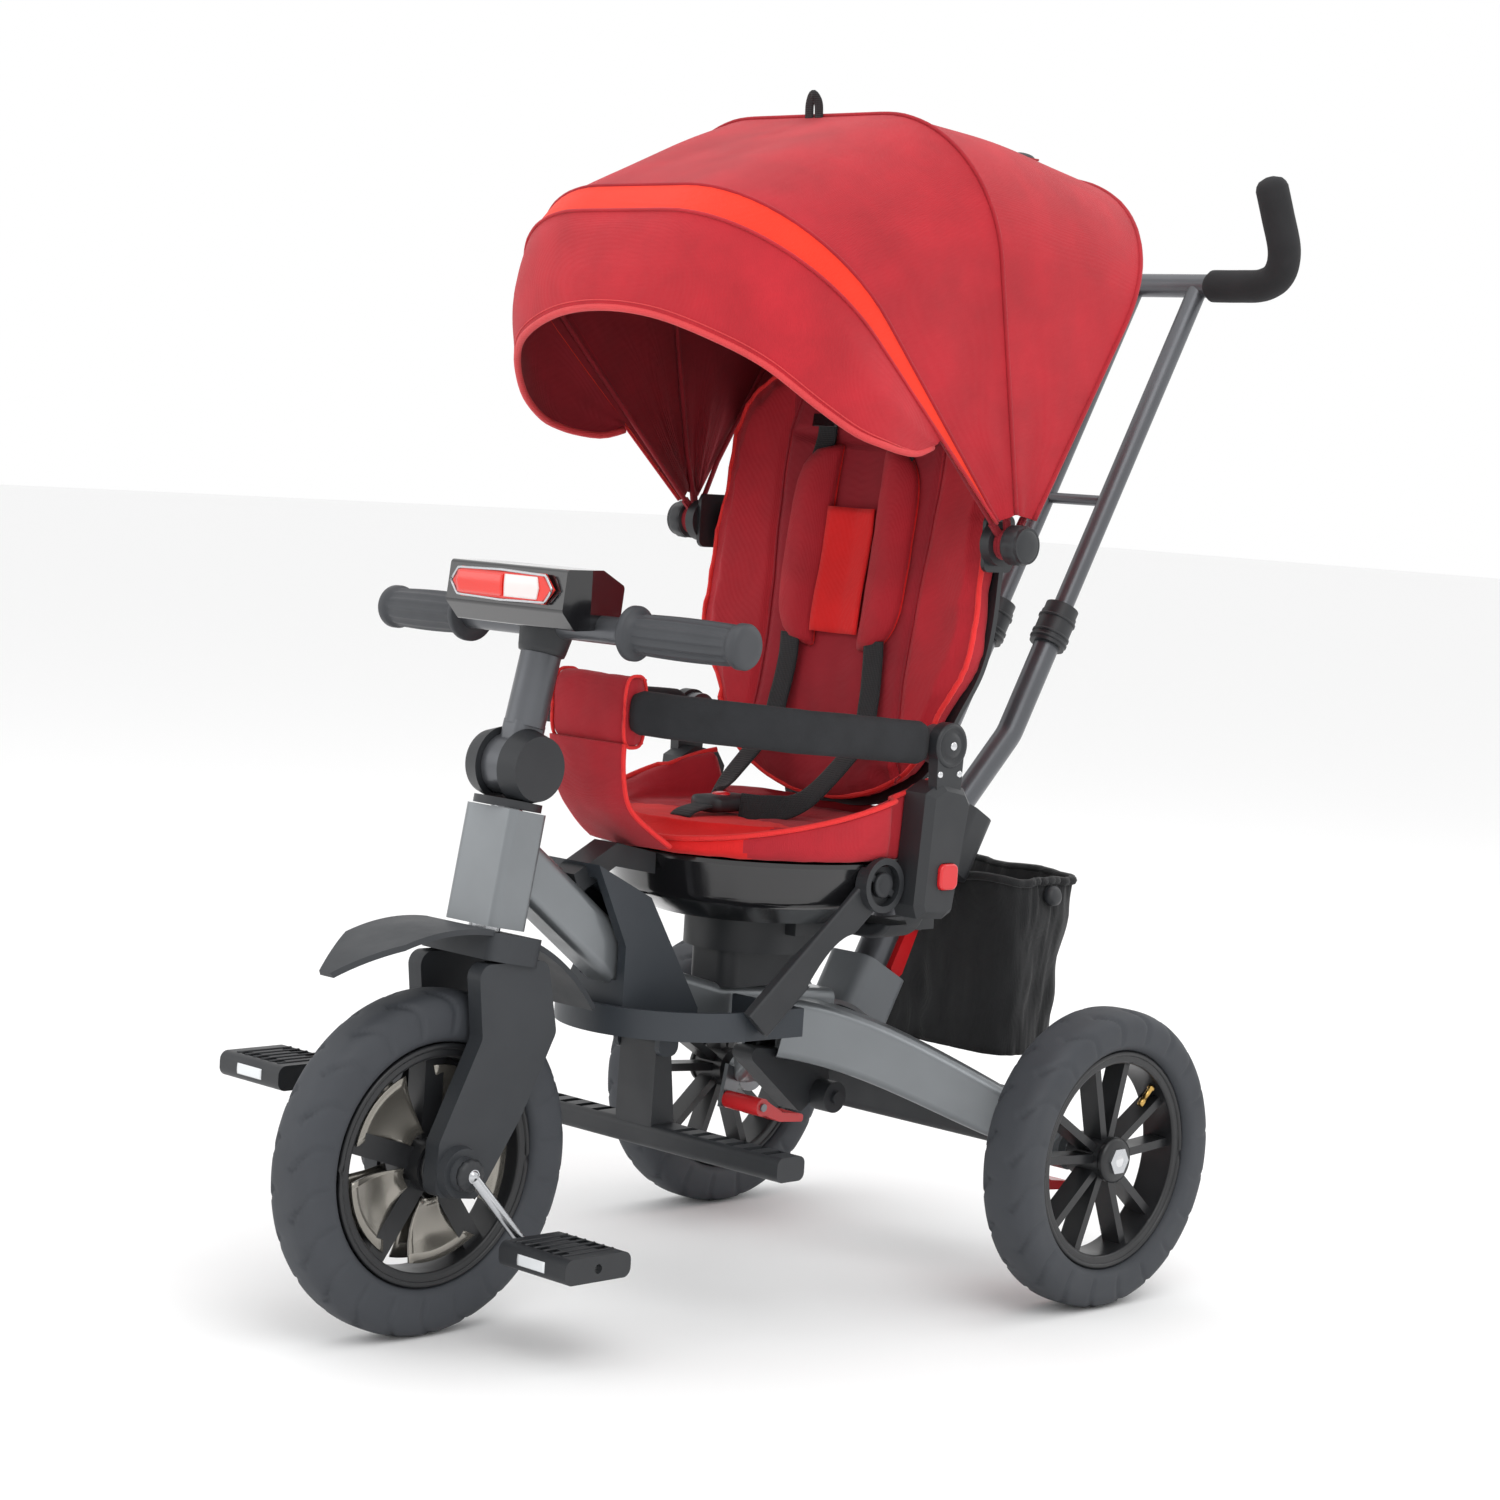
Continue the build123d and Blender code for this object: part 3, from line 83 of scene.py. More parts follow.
# ---------------------------------------------------------------- materials
class Shader:
    """One Principled material with small helpers for its nodes."""

    def __init__(self, name, colour, rough, metal=0.0):
        self.material = bpy.data.materials.new(name)
        self.material.use_nodes = True
        self.tree = self.material.node_tree
        self.tree.nodes.clear()
        output = self.add("ShaderNodeOutputMaterial")
        self.main = self.add("ShaderNodeBsdfPrincipled")
        self.tree.links.new(self.main.outputs[0], output.inputs[0])
        self.main.inputs["Base Color"].default_value = colour
        self.main.inputs["Roughness"].default_value = rough
        self.main.inputs["Metallic"].default_value = metal
        self.place = self.add("ShaderNodeTexCoord").outputs["Object"]
        self.colour, self.rough = colour, rough
        self.normal = None

    def add(self, kind, **settings):
        node = self.tree.nodes.new(kind)
        for key, value in settings.items():
            setattr(node, key, value)
        return node

    def noise(self, scale, detail=4.0, rough=0.55):
        node = self.add("ShaderNodeTexNoise")
        node.inputs["Scale"].default_value = scale
        node.inputs["Detail"].default_value = detail
        node.inputs["Roughness"].default_value = rough
        self.tree.links.new(self.place, node.inputs["Vector"])
        return node.outputs["Fac"]

    def spread(self, value, low, high, start=0.3, end=0.7):
        node = self.add("ShaderNodeMapRange")
        node.inputs["From Min"].default_value = start
        node.inputs["From Max"].default_value = end
        node.inputs["To Min"].default_value = low
        node.inputs["To Max"].default_value = high
        self.tree.links.new(value, node.inputs["Value"])
        return node.outputs[0]

    def mottle(self, scale, amount, shift=(1.0, 1.0, 1.0)):
        """Slow change of colour over the surface."""
        ramp = self.add("ShaderNodeValToRGB")
        dark = tuple(c * (1 - amount) for c in self.colour[:3]) + (1.0,)
        light = tuple(min(c * (1 + amount) * s, 1.0) for c, s in zip(self.colour[:3], shift)) + (1.0,)
        ramp.color_ramp.elements[0].position = 0.3
        ramp.color_ramp.elements[1].position = 0.7
        ramp.color_ramp.elements[0].color = dark
        ramp.color_ramp.elements[1].color = light
        self.tree.links.new(self.noise(scale), ramp.inputs["Fac"])
        self.tree.links.new(ramp.outputs["Color"], self.main.inputs["Base Color"])
        return self

    def vary_rough(self, scale, amount):
        low, high = max(self.rough - amount, 0.03), min(self.rough + amount, 1.0)
        self.tree.links.new(self.spread(self.noise(scale), low, high), self.main.inputs["Roughness"])
        return self

    def bump(self, height, strength, distance):
        node = self.add("ShaderNodeBump")
        node.inputs["Strength"].default_value = strength
        node.inputs["Distance"].default_value = distance
        self.tree.links.new(height, node.inputs["Height"])
        if self.normal is not None:
            self.tree.links.new(self.normal, node.inputs["Normal"])
        self.normal = node.outputs["Normal"]
        self.tree.links.new(self.normal, self.main.inputs["Normal"])
        return self

    def weave(self, pitch, strength):
        """Woven threads that run along the three axes, seen on any face."""
        total = None
        for axis in ("X", "Y", "Z"):
            wave = self.add("ShaderNodeTexWave", wave_type="BANDS", bands_direction=axis)
            wave.inputs["Scale"].default_value = 2 * math.pi / (20 * pitch)
            wave.inputs["Distortion"].default_value = 0.4
            wave.inputs["Detail"].default_value = 1.0
            self.tree.links.new(self.place, wave.inputs["Vector"])
            if total is None:
                total = wave.outputs["Fac"]
                continue
            join = self.add("ShaderNodeMath", operation="ADD")
            self.tree.links.new(total, join.inputs[0])
            self.tree.links.new(wave.outputs["Fac"], join.inputs[1])
            total = join.outputs[0]
        return self.bump(total, strength, pitch * 0.25)


def hard(name, colour, rough, metal=0.0, grain=1400, depth=0.00004, coat=0.0, mottle=0.06):
    """Moulded plastic or painted metal: fine grain, slow roughness and colour variation."""
    shader = Shader(name, colour, rough, metal)
    shader.mottle(9, mottle).vary_rough(26, 0.06)
    shader.bump(shader.noise(grain, 3), 0.35, depth)
    shader.main.inputs["Coat Weight"].default_value = coat
    shader.main.inputs["Coat Roughness"].default_value = 0.12
    return shader.material


def cloth(name, colour, pitch=0.0011, sheen=0.08, mottle=0.14, rough=0.82):
    """Woven polyester cloth."""
    shader = Shader(name, colour, rough)
    shader.mottle(16, mottle).bump(shader.noise(34, 5), 0.25, 0.0012)
    shader.weave(pitch, 0.55)
    shader.main.inputs["Sheen Weight"].default_value = sheen
    shader.main.inputs["Sheen Roughness"].default_value = 0.45
    return shader.material


def foam_like(name, colour, scale=520, depth=0.0004, rough=0.9):
    shader = Shader(name, colour, rough)
    shader.mottle(30, 0.2).bump(shader.noise(scale, 6, 0.7), 0.8, depth)
    return shader.material


RED = cloth("red_cloth", linear(176, 20, 36))
RED_DARK = cloth("dark_red_cloth", linear(150, 14, 32))
RED_INSIDE = cloth("hood_lining", linear(138, 14, 30))
BACK_RED = cloth("hood_back_cloth", linear(166, 18, 34))
CORAL = cloth("visor_cloth", linear(184, 26, 40))
ORANGE = cloth("band_cloth", linear(238, 48, 18), mottle=0.08)
BRIGHT = cloth("bright_red_cloth", linear(224, 20, 20), mottle=0.1)
PIPING = cloth("piping_cloth", linear(232, 36, 36), pitch=0.0016, mottle=0.06, rough=0.7)
CORAL_PIPING = cloth("visor_piping_cloth", linear(214, 60, 64), pitch=0.0016, mottle=0.06, rough=0.7)
WEBBING = cloth("harness_webbing", linear(30, 31, 33), pitch=0.0019, sheen=0.1, mottle=0.1)
BASKET_CLOTH = cloth("basket_cloth", linear(26, 27, 29), pitch=0.0013, sheen=0.12)
LABEL_CLOTH = cloth("label_cloth", linear(24, 22, 24), pitch=0.0012, sheen=0.05)
FRAME_PAINT = hard("frame_paint", linear(124, 128, 131), 0.36, 0.55, grain=2600, depth=0.00002, coat=0.35)
TUBE_PAINT = hard("tube_paint", linear(92, 94, 98), 0.4, 0.6, grain=2600, depth=0.00002, coat=0.2)
STEEL = hard("bare_steel", linear(190, 192, 195), 0.24, 1.0, grain=700, depth=0.00001)
BOLT = hard("bolt_steel", linear(215, 216, 218), 0.16, 1.0, grain=700, depth=0.00001)
BRASS = hard("valve_brass", linear(196, 160, 92), 0.3, 1.0, grain=700, depth=0.00001)
PLASTIC = hard("black_plastic", linear(38, 40, 43), 0.5, grain=1700, depth=0.00006)
GUARD_PLASTIC = hard("guard_plastic", linear(44, 47, 51), 0.55, grain=1500, depth=0.00007)
PAN_PLASTIC = hard("footrest_plastic", linear(46, 51, 57), 0.48, grain=1500, depth=0.00006)
SOCKET_PLASTIC = hard("socket_plastic", linear(118, 122, 126), 0.42, grain=1500, depth=0.00004)
GLOSS = hard("gloss_plastic", linear(22, 22, 24), 0.17, grain=500, depth=0.00001, coat=0.6, mottle=0.02)
RIM_PLASTIC = hard("rim_plastic", linear(30, 31, 33), 0.38, grain=1500, depth=0.00004)
RED_PLASTIC = hard("red_plastic", linear(214, 30, 36), 0.34, grain=1500, depth=0.00003, coat=0.3)
DARK_RED_PLASTIC = hard("dark_red_plastic", linear(170, 16, 30), 0.4, grain=1500, depth=0.00003)
SILVER = hard("smoked_plate", linear(142, 138, 130), 0.2, 0.75, grain=500, depth=0.00001, coat=0.5)
REFLECTOR = hard("white_reflector", linear(225, 228, 230), 0.2, grain=300, depth=0.0001, coat=0.6)
GRIP_RUBBER = hard("grip_rubber", linear(58, 60, 64), 0.58, grain=1200, depth=0.00008)
TYRE_RUBBER = hard("tyre_rubber", linear(56, 59, 64), 0.68, grain=1100, depth=0.0001, mottle=0.1)
HANDLE_FOAM = foam_like("handle_foam", linear(34, 34, 36), 700, 0.0003)
BAR_FOAM = foam_like("bar_foam_sleeve", linear(34, 35, 38), 600, 0.0004)
LENS_RED = hard("lens_red", linear(232, 44, 30), 0.14, grain=240, depth=0.00025, coat=0.8)
LENS_CLEAR = hard("lens_clear", linear(236, 226, 224), 0.14, grain=240, depth=0.00025, coat=0.8)


def net_material():
    """Light grey netting with round holes."""
    shader = Shader("basket_net", linear(150, 152, 156), 0.7)
    cells = shader.add("ShaderNodeTexVoronoi", feature="F1", distance="EUCLIDEAN")
    cells.inputs["Scale"].default_value = 330
    cells.inputs["Randomness"].default_value = 0.15
    shader.tree.links.new(shader.place, cells.inputs["Vector"])
    alpha = shader.spread(cells.outputs["Distance"], 0.0, 1.0, 0.30, 0.42)
    shader.tree.links.new(alpha, shader.main.inputs["Alpha"])
    return shader.material


NET = net_material()

# ---------------------------------------------------------------- mesh helpers


def mesh_piece(name, verts, faces, *materials, smooth=True):
    mesh = bpy.data.meshes.new(name)
    mesh.from_pydata([tuple(v) for v in verts], [], faces)
    mesh.validate()
    mesh.update()
    for material in materials:
        mesh.materials.append(material)
    if smooth:
        mesh.polygons.foreach_set("use_smooth", [True] * len(mesh.polygons))
    obj = bpy.data.objects.new(name, mesh)
    bpy.context.scene.collection.objects.link(obj)
    return obj


def grid_faces(rows, cols, wrap_rows=False, wrap_cols=False):
    faces = []
    for i in range(rows if wrap_rows else rows - 1):
        for j in range(cols if wrap_cols else cols - 1):
            a, b = i * cols, ((i + 1) % rows) * cols
            k = (j + 1) % cols
            faces.append((a + j, a + k, b + k, b + j))
    return faces


def grid_piece(name, rows, *materials, wrap_rows=False, wrap_cols=False, caps=False, smooth=True):
    """Surface through a list of rows of points; caps close both end rows of a tube."""
    cols = len(rows[0])
    verts = [p for row in rows for p in row]
    faces = grid_faces(len(rows), cols, wrap_rows, wrap_cols)
    if caps:
        faces.append(tuple(range(cols))[::-1])
        faces.append(tuple((len(rows) - 1) * cols + j for j in range(cols)))
    obj = mesh_piece(name, verts, faces, *materials, smooth=smooth)
    outward(obj)
    return obj


def outward(obj):
    """Turns a closed mesh's faces outward."""
    work = bmesh.new()
    work.from_mesh(obj.data)
    bmesh.ops.recalc_face_normals(work, faces=work.faces)
    work.to_mesh(obj.data)
    work.free()


def smooth_line(points, per=8, closed=False):
    """Catmull-Rom curve through the points."""
    points = [Vector(p) for p in points]
    count = len(points)
    result = []
    for i in range(count if closed else count - 1):
        if closed:
            p = [points[(i + k - 1) % count] for k in range(4)]
        else:
            p = [points[min(max(i + k - 1, 0), count - 1)] for k in range(4)]
        for step in range(per):
            t = step / per
            result.append(
                0.5
                * (
                    2 * p[1]
                    + (p[2] - p[0]) * t
                    + (2 * p[0] - 5 * p[1] + 4 * p[2] - p[3]) * t * t
                    + (3 * p[1] - p[0] - 3 * p[2] + p[3]) * t**3
                )
            )
    if not closed:
        result.append(points[-1])
    return result


def even_line(points, count):
    """The same line with evenly spaced points."""
    lengths = [0.0]
    for a, b in zip(points, points[1:]):
        lengths.append(lengths[-1] + (b - a).length)
    result, k = [], 0
    for i in range(count):
        target = lengths[-1] * i / (count - 1)
        while k < len(points) - 2 and lengths[k + 1] < target:
            k += 1
        span = max(lengths[k + 1] - lengths[k], 1e-9)
        result.append(lerp(points[k], points[k + 1], (target - lengths[k]) / span))
    return result


def ellipse(wide, high, count=16, power=2.0):
    """Closed section, rounder or squarer with its power."""
    points = []
    for i in range(count):
        a = 2 * math.pi * i / count
        c, s = math.cos(a), math.sin(a)
        points.append(
            (
                wide * math.copysign(abs(c) ** (2 / power), c),
                high * math.copysign(abs(s) ** (2 / power), s),
            )
        )
    return points


def sweep(name, path, section, *materials, up=(0, 0, 1), closed=False, scale=None, caps=True):
    """Section (metres) carried along a path; its second axis stays as near to up as it can."""
    rows = []
    count = len(path)
    up = Vector(up)
    for i, point in enumerate(path):
        before = path[(i - 1) % count] if closed or i > 0 else path[i]
        after = path[(i + 1) % count] if closed or i < count - 1 else path[i]
        along = (after - before).normalized()
        side = along.cross(up)
        if side.length < 1e-4:
            side = along.cross(Vector((0.3, 0.2, 1)))
        side.normalize()
        rise = side.cross(along)
        grow = scale(i / max(count - 1, 1)) if scale else 1.0
        rows.append([point + side * (a * grow) + rise * (b * grow) for a, b in section])
    return grid_piece(
        name, rows, *materials, wrap_rows=closed, wrap_cols=True, caps=caps and not closed
    )


def cord_line(name, path, radius, material, closed=False, sides=8):
    return sweep(name, path, ellipse(radius, radius, sides), material, closed=closed)


def lathe(name, centre, axis, profile, *materials, count=48, ridge=None):
    """Turned piece: profile is (distance along the axis, radius) in metres."""
    axis = Vector(axis).normalized()
    side = axis.cross(Vector((0, 0, 1) if abs(axis.z) < 0.9 else (0, 1, 0))).normalized()
    rise = axis.cross(side)
    rows = []
    for along, radius in profile:
        row = []
        for i in range(count):
            a = 2 * math.pi * i / count
            r = radius + (ridge(along, a, radius) if ridge else 0.0)
            row.append(centre + axis * along + side * (r * math.cos(a)) + rise * (r * math.sin(a)))
        rows.append(row)
    return grid_piece(name, rows, *materials, wrap_cols=True, caps=True)


def bevel(obj, width, segments=2, angle=32):
    """Softened edges that catch the light."""
    mod = obj.modifiers.new("soft_edges", "BEVEL")
    mod.width = width
    mod.segments = segments
    mod.limit_method = "ANGLE"
    mod.angle_limit = math.radians(angle)
    mod.harden_normals = False
    mod.use_clamp_overlap = True
    return obj


def apply_all(obj):
    """Applies every modifier of a piece to its mesh."""
    graph = bpy.context.evaluated_depsgraph_get()
    mesh = bpy.data.meshes.new_from_object(obj.evaluated_get(graph))
    obj.modifiers.clear()
    obj.data = mesh
    return obj


def settle(obj, body, slot, *nodes):
    """Hangs a finished piece on the body it rides on and hides the CAD nodes it stands for; slot, its finish, is not
    used.
    """
    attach(obj, body)
    if nodes:
        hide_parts(*nodes)
    return obj


def thicken(obj, amount, offset=0.0):
    mod = obj.modifiers.new("cloth_thickness", "SOLIDIFY")
    mod.thickness = amount
    mod.offset = offset
    mod.use_even_offset = True
    if len(obj.data.materials) > 1:
        mod.material_offset = 1
        mod.material_offset_rim = 0
    return obj


def shift_out(obj, amount):
    """Moves every vertex along its normal by a function of its place."""
    normals = [v.normal.copy() for v in obj.data.vertices]
    for v, normal in zip(obj.data.vertices, normals):
        v.co += normal * amount(v.co)
    obj.data.update()
    return obj


def crease(obj, lines, width, depth):
    """Presses sewn channels into a padded piece along lines."""
    count = len(obj.data.vertices)
    places, normals = np.empty(count * 3), np.empty(count * 3, np.float32)
    obj.data.vertices.foreach_get("co", places)
    obj.data.vertex_normals.foreach_get("vector", normals)
    places, normals = places.reshape(-1, 3), normals.reshape(-1, 3)
    best = np.full(count, width)
    for line in lines:
        for a, b in zip(line, line[1:]):
            start, step = np.array(a), np.array(b - a)
            share = np.clip((places - start) @ step / max(step @ step, 1e-12), 0, 1)
            best = np.minimum(best, np.linalg.norm(places - start - share[:, None] * step, axis=1))
    near = 1 - best / width
    places -= normals * (depth * near * near * (3 - 2 * near))[:, None]
    obj.data.vertices.foreach_set("co", places.ravel())
    obj.data.update()
    return obj


def stuffed(name, node, voxel, cap, pressure, *materials, shrink=0.0):
    """Cloth copy of a plain padded solid, blown up by pressure and held near its own size."""
    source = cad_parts[node]
    obj = bpy.data.objects.new(name, source.data.copy())
    bpy.context.scene.collection.objects.link(obj)
    obj.data.materials.clear()
    for material in materials:
        obj.data.materials.append(material)
    remesh = obj.modifiers.new("even_mesh", "REMESH")
    remesh.mode = "VOXEL"
    remesh.voxel_size = voxel
    remesh.use_smooth_shade = True
    apply_all(obj)
    smooth = obj.modifiers.new("round_edges", "SMOOTH")
    smooth.factor = 0.5
    smooth.iterations = 6
    apply_all(obj)
    if shrink:
        shift_out(obj, lambda place: -shrink)
    rest = [v.co.copy() for v in obj.data.vertices]
    scene = bpy.context.scene
    blow = obj.modifiers.new("stuffing", "CLOTH")
    blow.settings.quality = 5
    blow.settings.mass = 0.3
    blow.settings.use_pressure = True
    blow.settings.uniform_pressure_force = pressure
    blow.settings.tension_stiffness = 12
    blow.settings.compression_stiffness = 12
    blow.settings.bending_stiffness = 0.6
    blow.settings.effector_weights.gravity = 0
    blow.point_cache.frame_start = 1
    blow.point_cache.frame_end = 20
    for number in range(1, 21):
        scene.frame_set(number)
    apply_all(obj)
    scene.frame_set(1)
    for v, place in zip(obj.data.vertices, rest):
        move = v.co - place
        if move.length > cap:
            v.co = place + move * (cap / move.length)
    obj.data.update()
    finer = obj.modifiers.new("finer", "SUBSURF")
    finer.levels = finer.render_levels = 1
    apply_all(obj)
    obj.data.polygons.foreach_set("use_smooth", [True] * len(obj.data.polygons))
    return obj


# ---------------------------------------------------------------- CAD pieces that stay
KEPT = {
    "main_beam": (FRAME_PAINT, 0.0012),
    "head_box": (FRAME_PAINT, 0.0015),
    "rear_leg_left": (FRAME_PAINT, 0.0),
    "rear_leg_right": (FRAME_PAINT, 0.0),
    "rear_axle": (STEEL, 0.0004),
    "axle_cover": (PLASTIC, 0.0012),
    "post_socket": (SOCKET_PLASTIC, 0.0018),
    "handle_post": (TUBE_PAINT, 0.0005),
    "release_lever": (RED_PLASTIC, 0.001),
    "handle_yoke": (PLASTIC, 0.0015),
    "under_cover": (PLASTIC, 0.002),
    "lower_tubes": (TUBE_PAINT, 0.0),
    "tube_collars": (PLASTIC, 0.001),
    "push_frame": (TUBE_PAINT, 0.0),
    "front_rim": (RIM_PLASTIC, 0.0012),
    "rear_rim_left": (RIM_PLASTIC, 0.0012),
    "rear_rim_right": (RIM_PLASTIC, 0.0012),
    "crank": (STEEL, 0.0),
    "pedal_left": (PLASTIC, 0.0012),
    "pedal_right": (PLASTIC, 0.0012),
    "steerer": (STEEL, 0.0004),
    "fork": (GUARD_PLASTIC, 0.0015),
    "mudguard": (GUARD_PLASTIC, 0.001),
    "knuckle": (PLASTIC, 0.0015),
    "stem": (TUBE_PAINT, 0.001),
    "handlebar": (TUBE_PAINT, 0.0),
    "console": (GLOSS, 0.002),
    "console_lens": (LENS_RED, 0.0008),
    "seat_base": (GLOSS, 0.0015),
    "seat_cradle": (PLASTIC, 0.002),
    "side_blocks": (PLASTIC, 0.002),
    "push_button_left": (RED_PLASTIC, 0.0008),
    "push_button_right": (RED_PLASTIC, 0.0008),
    "footrest_pan": (PAN_PLASTIC, 0.0018),
    "footrest_struts": (PLASTIC, 0.0015),
    "foot_pegs": (PLASTIC, 0.0012),
    "brake_pedal_left": (RED_PLASTIC, 0.0015),
    "brake_pedal_right": (RED_PLASTIC, 0.0015),
    "safety_bar": (TUBE_PAINT, 0.0006),
    "backrest_shell": (PLASTIC, 0.001),
    "canopy_hinges": (PLASTIC, 0.0015),
    "canopy_rib_rear": (RED_INSIDE, 0.0),
    "canopy_rib_mid": (RED_INSIDE, 0.0),
    "canopy_rib_front": (RED_INSIDE, 0.0),
}
for node_name, (node_material, _) in KEPT.items():
    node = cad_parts[node_name]
    for index in range(len(node.material_slots)):
        node.material_slots[index].material = node_material

# ---------------------------------------------------------------- wheels


def tread_tyre(name, node, body, x, y, radius, half, depth, blocks):
    """Air tyre with swept grooves on its shoulders and two round the middle."""
    around, across = 300, 44
    middle = radius - depth / 2
    rows = []
    for i in range(around):
        turn = 2 * math.pi * i / around
        row = []
        for j in range(across):
            a = 2 * math.pi * j / across
            c, s = math.cos(a), math.sin(a)
            power = 0.62 if c > 0 else 0.5
            out = depth / 2 * math.copysign(abs(c) ** (0.78 if c > 0 else 0.5), c)
            side = half * math.copysign(abs(s) ** power, s)
            share = abs(side) / half
            groove = 0.0
            if c > -0.55:
                phase = turn * blocks / (2 * math.pi) + 0.75 * share**1.6 * (1 if side > 0 else -1)
                near = abs(phase - round(phase))
                if share > 0.3:
                    groove = 3.0 * smooth_step(1 - near / 0.11) * smooth_step((c + 0.55) / 0.5)
                if abs(share - 0.22) < 0.075:
                    groove = max(groove, 2.2)
            if -0.62 < c < -0.5:
                groove = -0.6
            r = middle + out - groove * max(c, 0.25)
            side -= groove * 0.55 * s
            row.append(at(x + side, y + r * math.cos(turn), radius + r * math.sin(turn)))
        rows.append(row)
    tyre = grid_piece(name, rows, TYRE_RUBBER, wrap_rows=True, wrap_cols=True)
    return settle(tyre, body, "tyre_rubber", node)


tread_tyre("front_tyre_tread", "front_tyre", "front_wheel", 0, FRONT_Y, 150, 25, 45, 22)
tread_tyre("rear_tyre_tread_left", "rear_tyre_left", "rear_wheel_l", 252, REAR_Y, 140, 28, 38, 20)
tread_tyre("rear_tyre_tread_right", "rear_tyre_right", "rear_wheel_r", -252, REAR_Y, 140, 28, 38, 20)


def rim_lip(name, body, x, y, centre, radius, half):
    """Rounded bead ring on both sides of a rim."""
    for side in (1, -1):
        line = [
            at(x + side * half, y + radius * math.cos(t), centre + radius * math.sin(t))
            for t in [2 * math.pi * i / 96 for i in range(96)]
        ]
        ring = cord_line(f"{name}_{'outer' if side > 0 else 'inner'}", line, 0.0028, RIM_PLASTIC, closed=True, sides=10)
        settle(ring, body, "rim_black")


rim_lip("front_rim_lip", "front_wheel", 0, FRONT_Y, 150, 103, 19)
rim_lip("rear_rim_lip_left", "rear_wheel_l", 252, REAR_Y, 140, 100, 18)
rim_lip("rear_rim_lip_right", "rear_wheel_r", -252, REAR_Y, 140, 100, 18)

# Smoked plates between the front spokes, one set on each side.
for side in (1, -1):
    for index in range(5):
        rows = []
        for i in range(7):
            r = 30 + 56 * i / 6
            row = []
            for j in range(11):
                spread = math.radians(25.5 - 9 * (1 - i / 6))
                turn = math.radians(126 + 72 * index) + spread * (j / 5 - 1) + 0.22 * (i / 6)
                dish = 13 - 5.5 * math.sin(math.pi * i / 6) - 2 * math.sin(math.pi * j / 10)
                row.append(at(side * dish, FRONT_Y + r * math.cos(turn), 150 + r * math.sin(turn)))
            rows.append(row)
        plate = grid_piece(f"wheel_plate_{index}_{'left' if side > 0 else 'right'}", rows, SILVER)
        thicken(plate, 0.0016)
        apply_all(plate)
        settle(plate, "front_wheel", "rim_black")

# Hub caps, hub bolts, valves.
for side in (1, -1):
    word = "left" if side > 0 else "right"
    hub = lathe(
        f"front_hub_cap_{word}",
        at(side * 27.5, FRONT_Y, 150),
        (side, 0, 0),
        [(-0.004, 0.021), (0.0, 0.0225), (0.0012, 0.0215), (0.0016, 0.012)],
        RIM_PLASTIC,
    )
    settle(hub, "front_wheel", "rim_black")
    cap = lathe(
        f"crank_cap_{word}",
        at(side * 62.4, FRONT_Y, 150),
        (side, 0, 0),
        [(0.0, 0.0135), (0.003, 0.0145), (0.006, 0.012), (0.0075, 0.006)],
        PLASTIC,
        ridge=lambda along, a, r: 0.0004 * math.cos(12 * a),
    )
    settle(cap, "crank_set", "steel")
    body = "rear_wheel_l" if side > 0 else "rear_wheel_r"
    rear_cap = lathe(
        f"rear_hub_cap_{word}",
        at(side * 272, REAR_Y, 140),
        (side, 0, 0),
        [(-0.003, 0.0215), (0.002, 0.0212), (0.0038, 0.018), (0.0042, 0.0105)],
        RIM_PLASTIC,
    )
    settle(rear_cap, body, "rim_black")
    nut = lathe(
        f"axle_bolt_{word}",
        at(side * 276.5, REAR_Y, 140),
        (side, 0, 0),
        [(-0.001, 0.0065), (0.0018, 0.0065), (0.0026, 0.0052), (0.0028, 0.001)],
        BOLT,
        count=24,
    )
    settle(nut, "frame", "bolt")
    foot = at(side * 262, REAR_Y + 62, 140 + 62)
    valve_dir = Vector((0, -0.6, -0.6)).normalized()
    valve = lathe(
        f"air_valve_{word}",
        foot,
        valve_dir,
        [(0.0, 0.0035), (0.003, 0.0036), (0.0035, 0.0026), (0.016, 0.0026), (0.0165, 0.0034), (0.023, 0.003)],
        BRASS,
        count=20,
    )
    settle(valve, body, "bolt")

# Pedal reflectors.
arm = 80.0
for side, body in ((1, "pedal_l"), (-1, "pedal_r")):
    pin_y = FRONT_Y + side * arm * math.cos(math.radians(51.5))
    pin_z = 150 - side * arm * math.sin(math.radians(51.5))
    for end in (1, -1):
        rows = []
        for i in range(9):
            z = pin_z + (i / 4 - 1) * 4.6
            bulge = 0.8 * math.cos((i / 4 - 1) * 1.2)
            rows.append(
                [at(side * (133 + (j / 7 - 1) * 17), pin_y + end * (36.2 + bulge), z) for j in range(15)]
            )
        strip = grid_piece(f"pedal_reflector_{body[-1]}_{'rear' if end > 0 else 'front'}", rows, REFLECTOR)
        thicken(strip, 0.0014)
        apply_all(strip)
        settle(strip, body, "bolt")
    for number in range(6):
        x = side * (104 + 11.5 * number)
        line = [at(x, pin_y + t, pin_z + 11.1) for t in (-29, -20, -10, 0, 10, 20, 29)]
        rib = sweep(f"pedal_rib_{body[-1]}_{number}", line, ellipse(0.0016, 0.0011, 8), PLASTIC)
        settle(rib, body, "black_plastic")

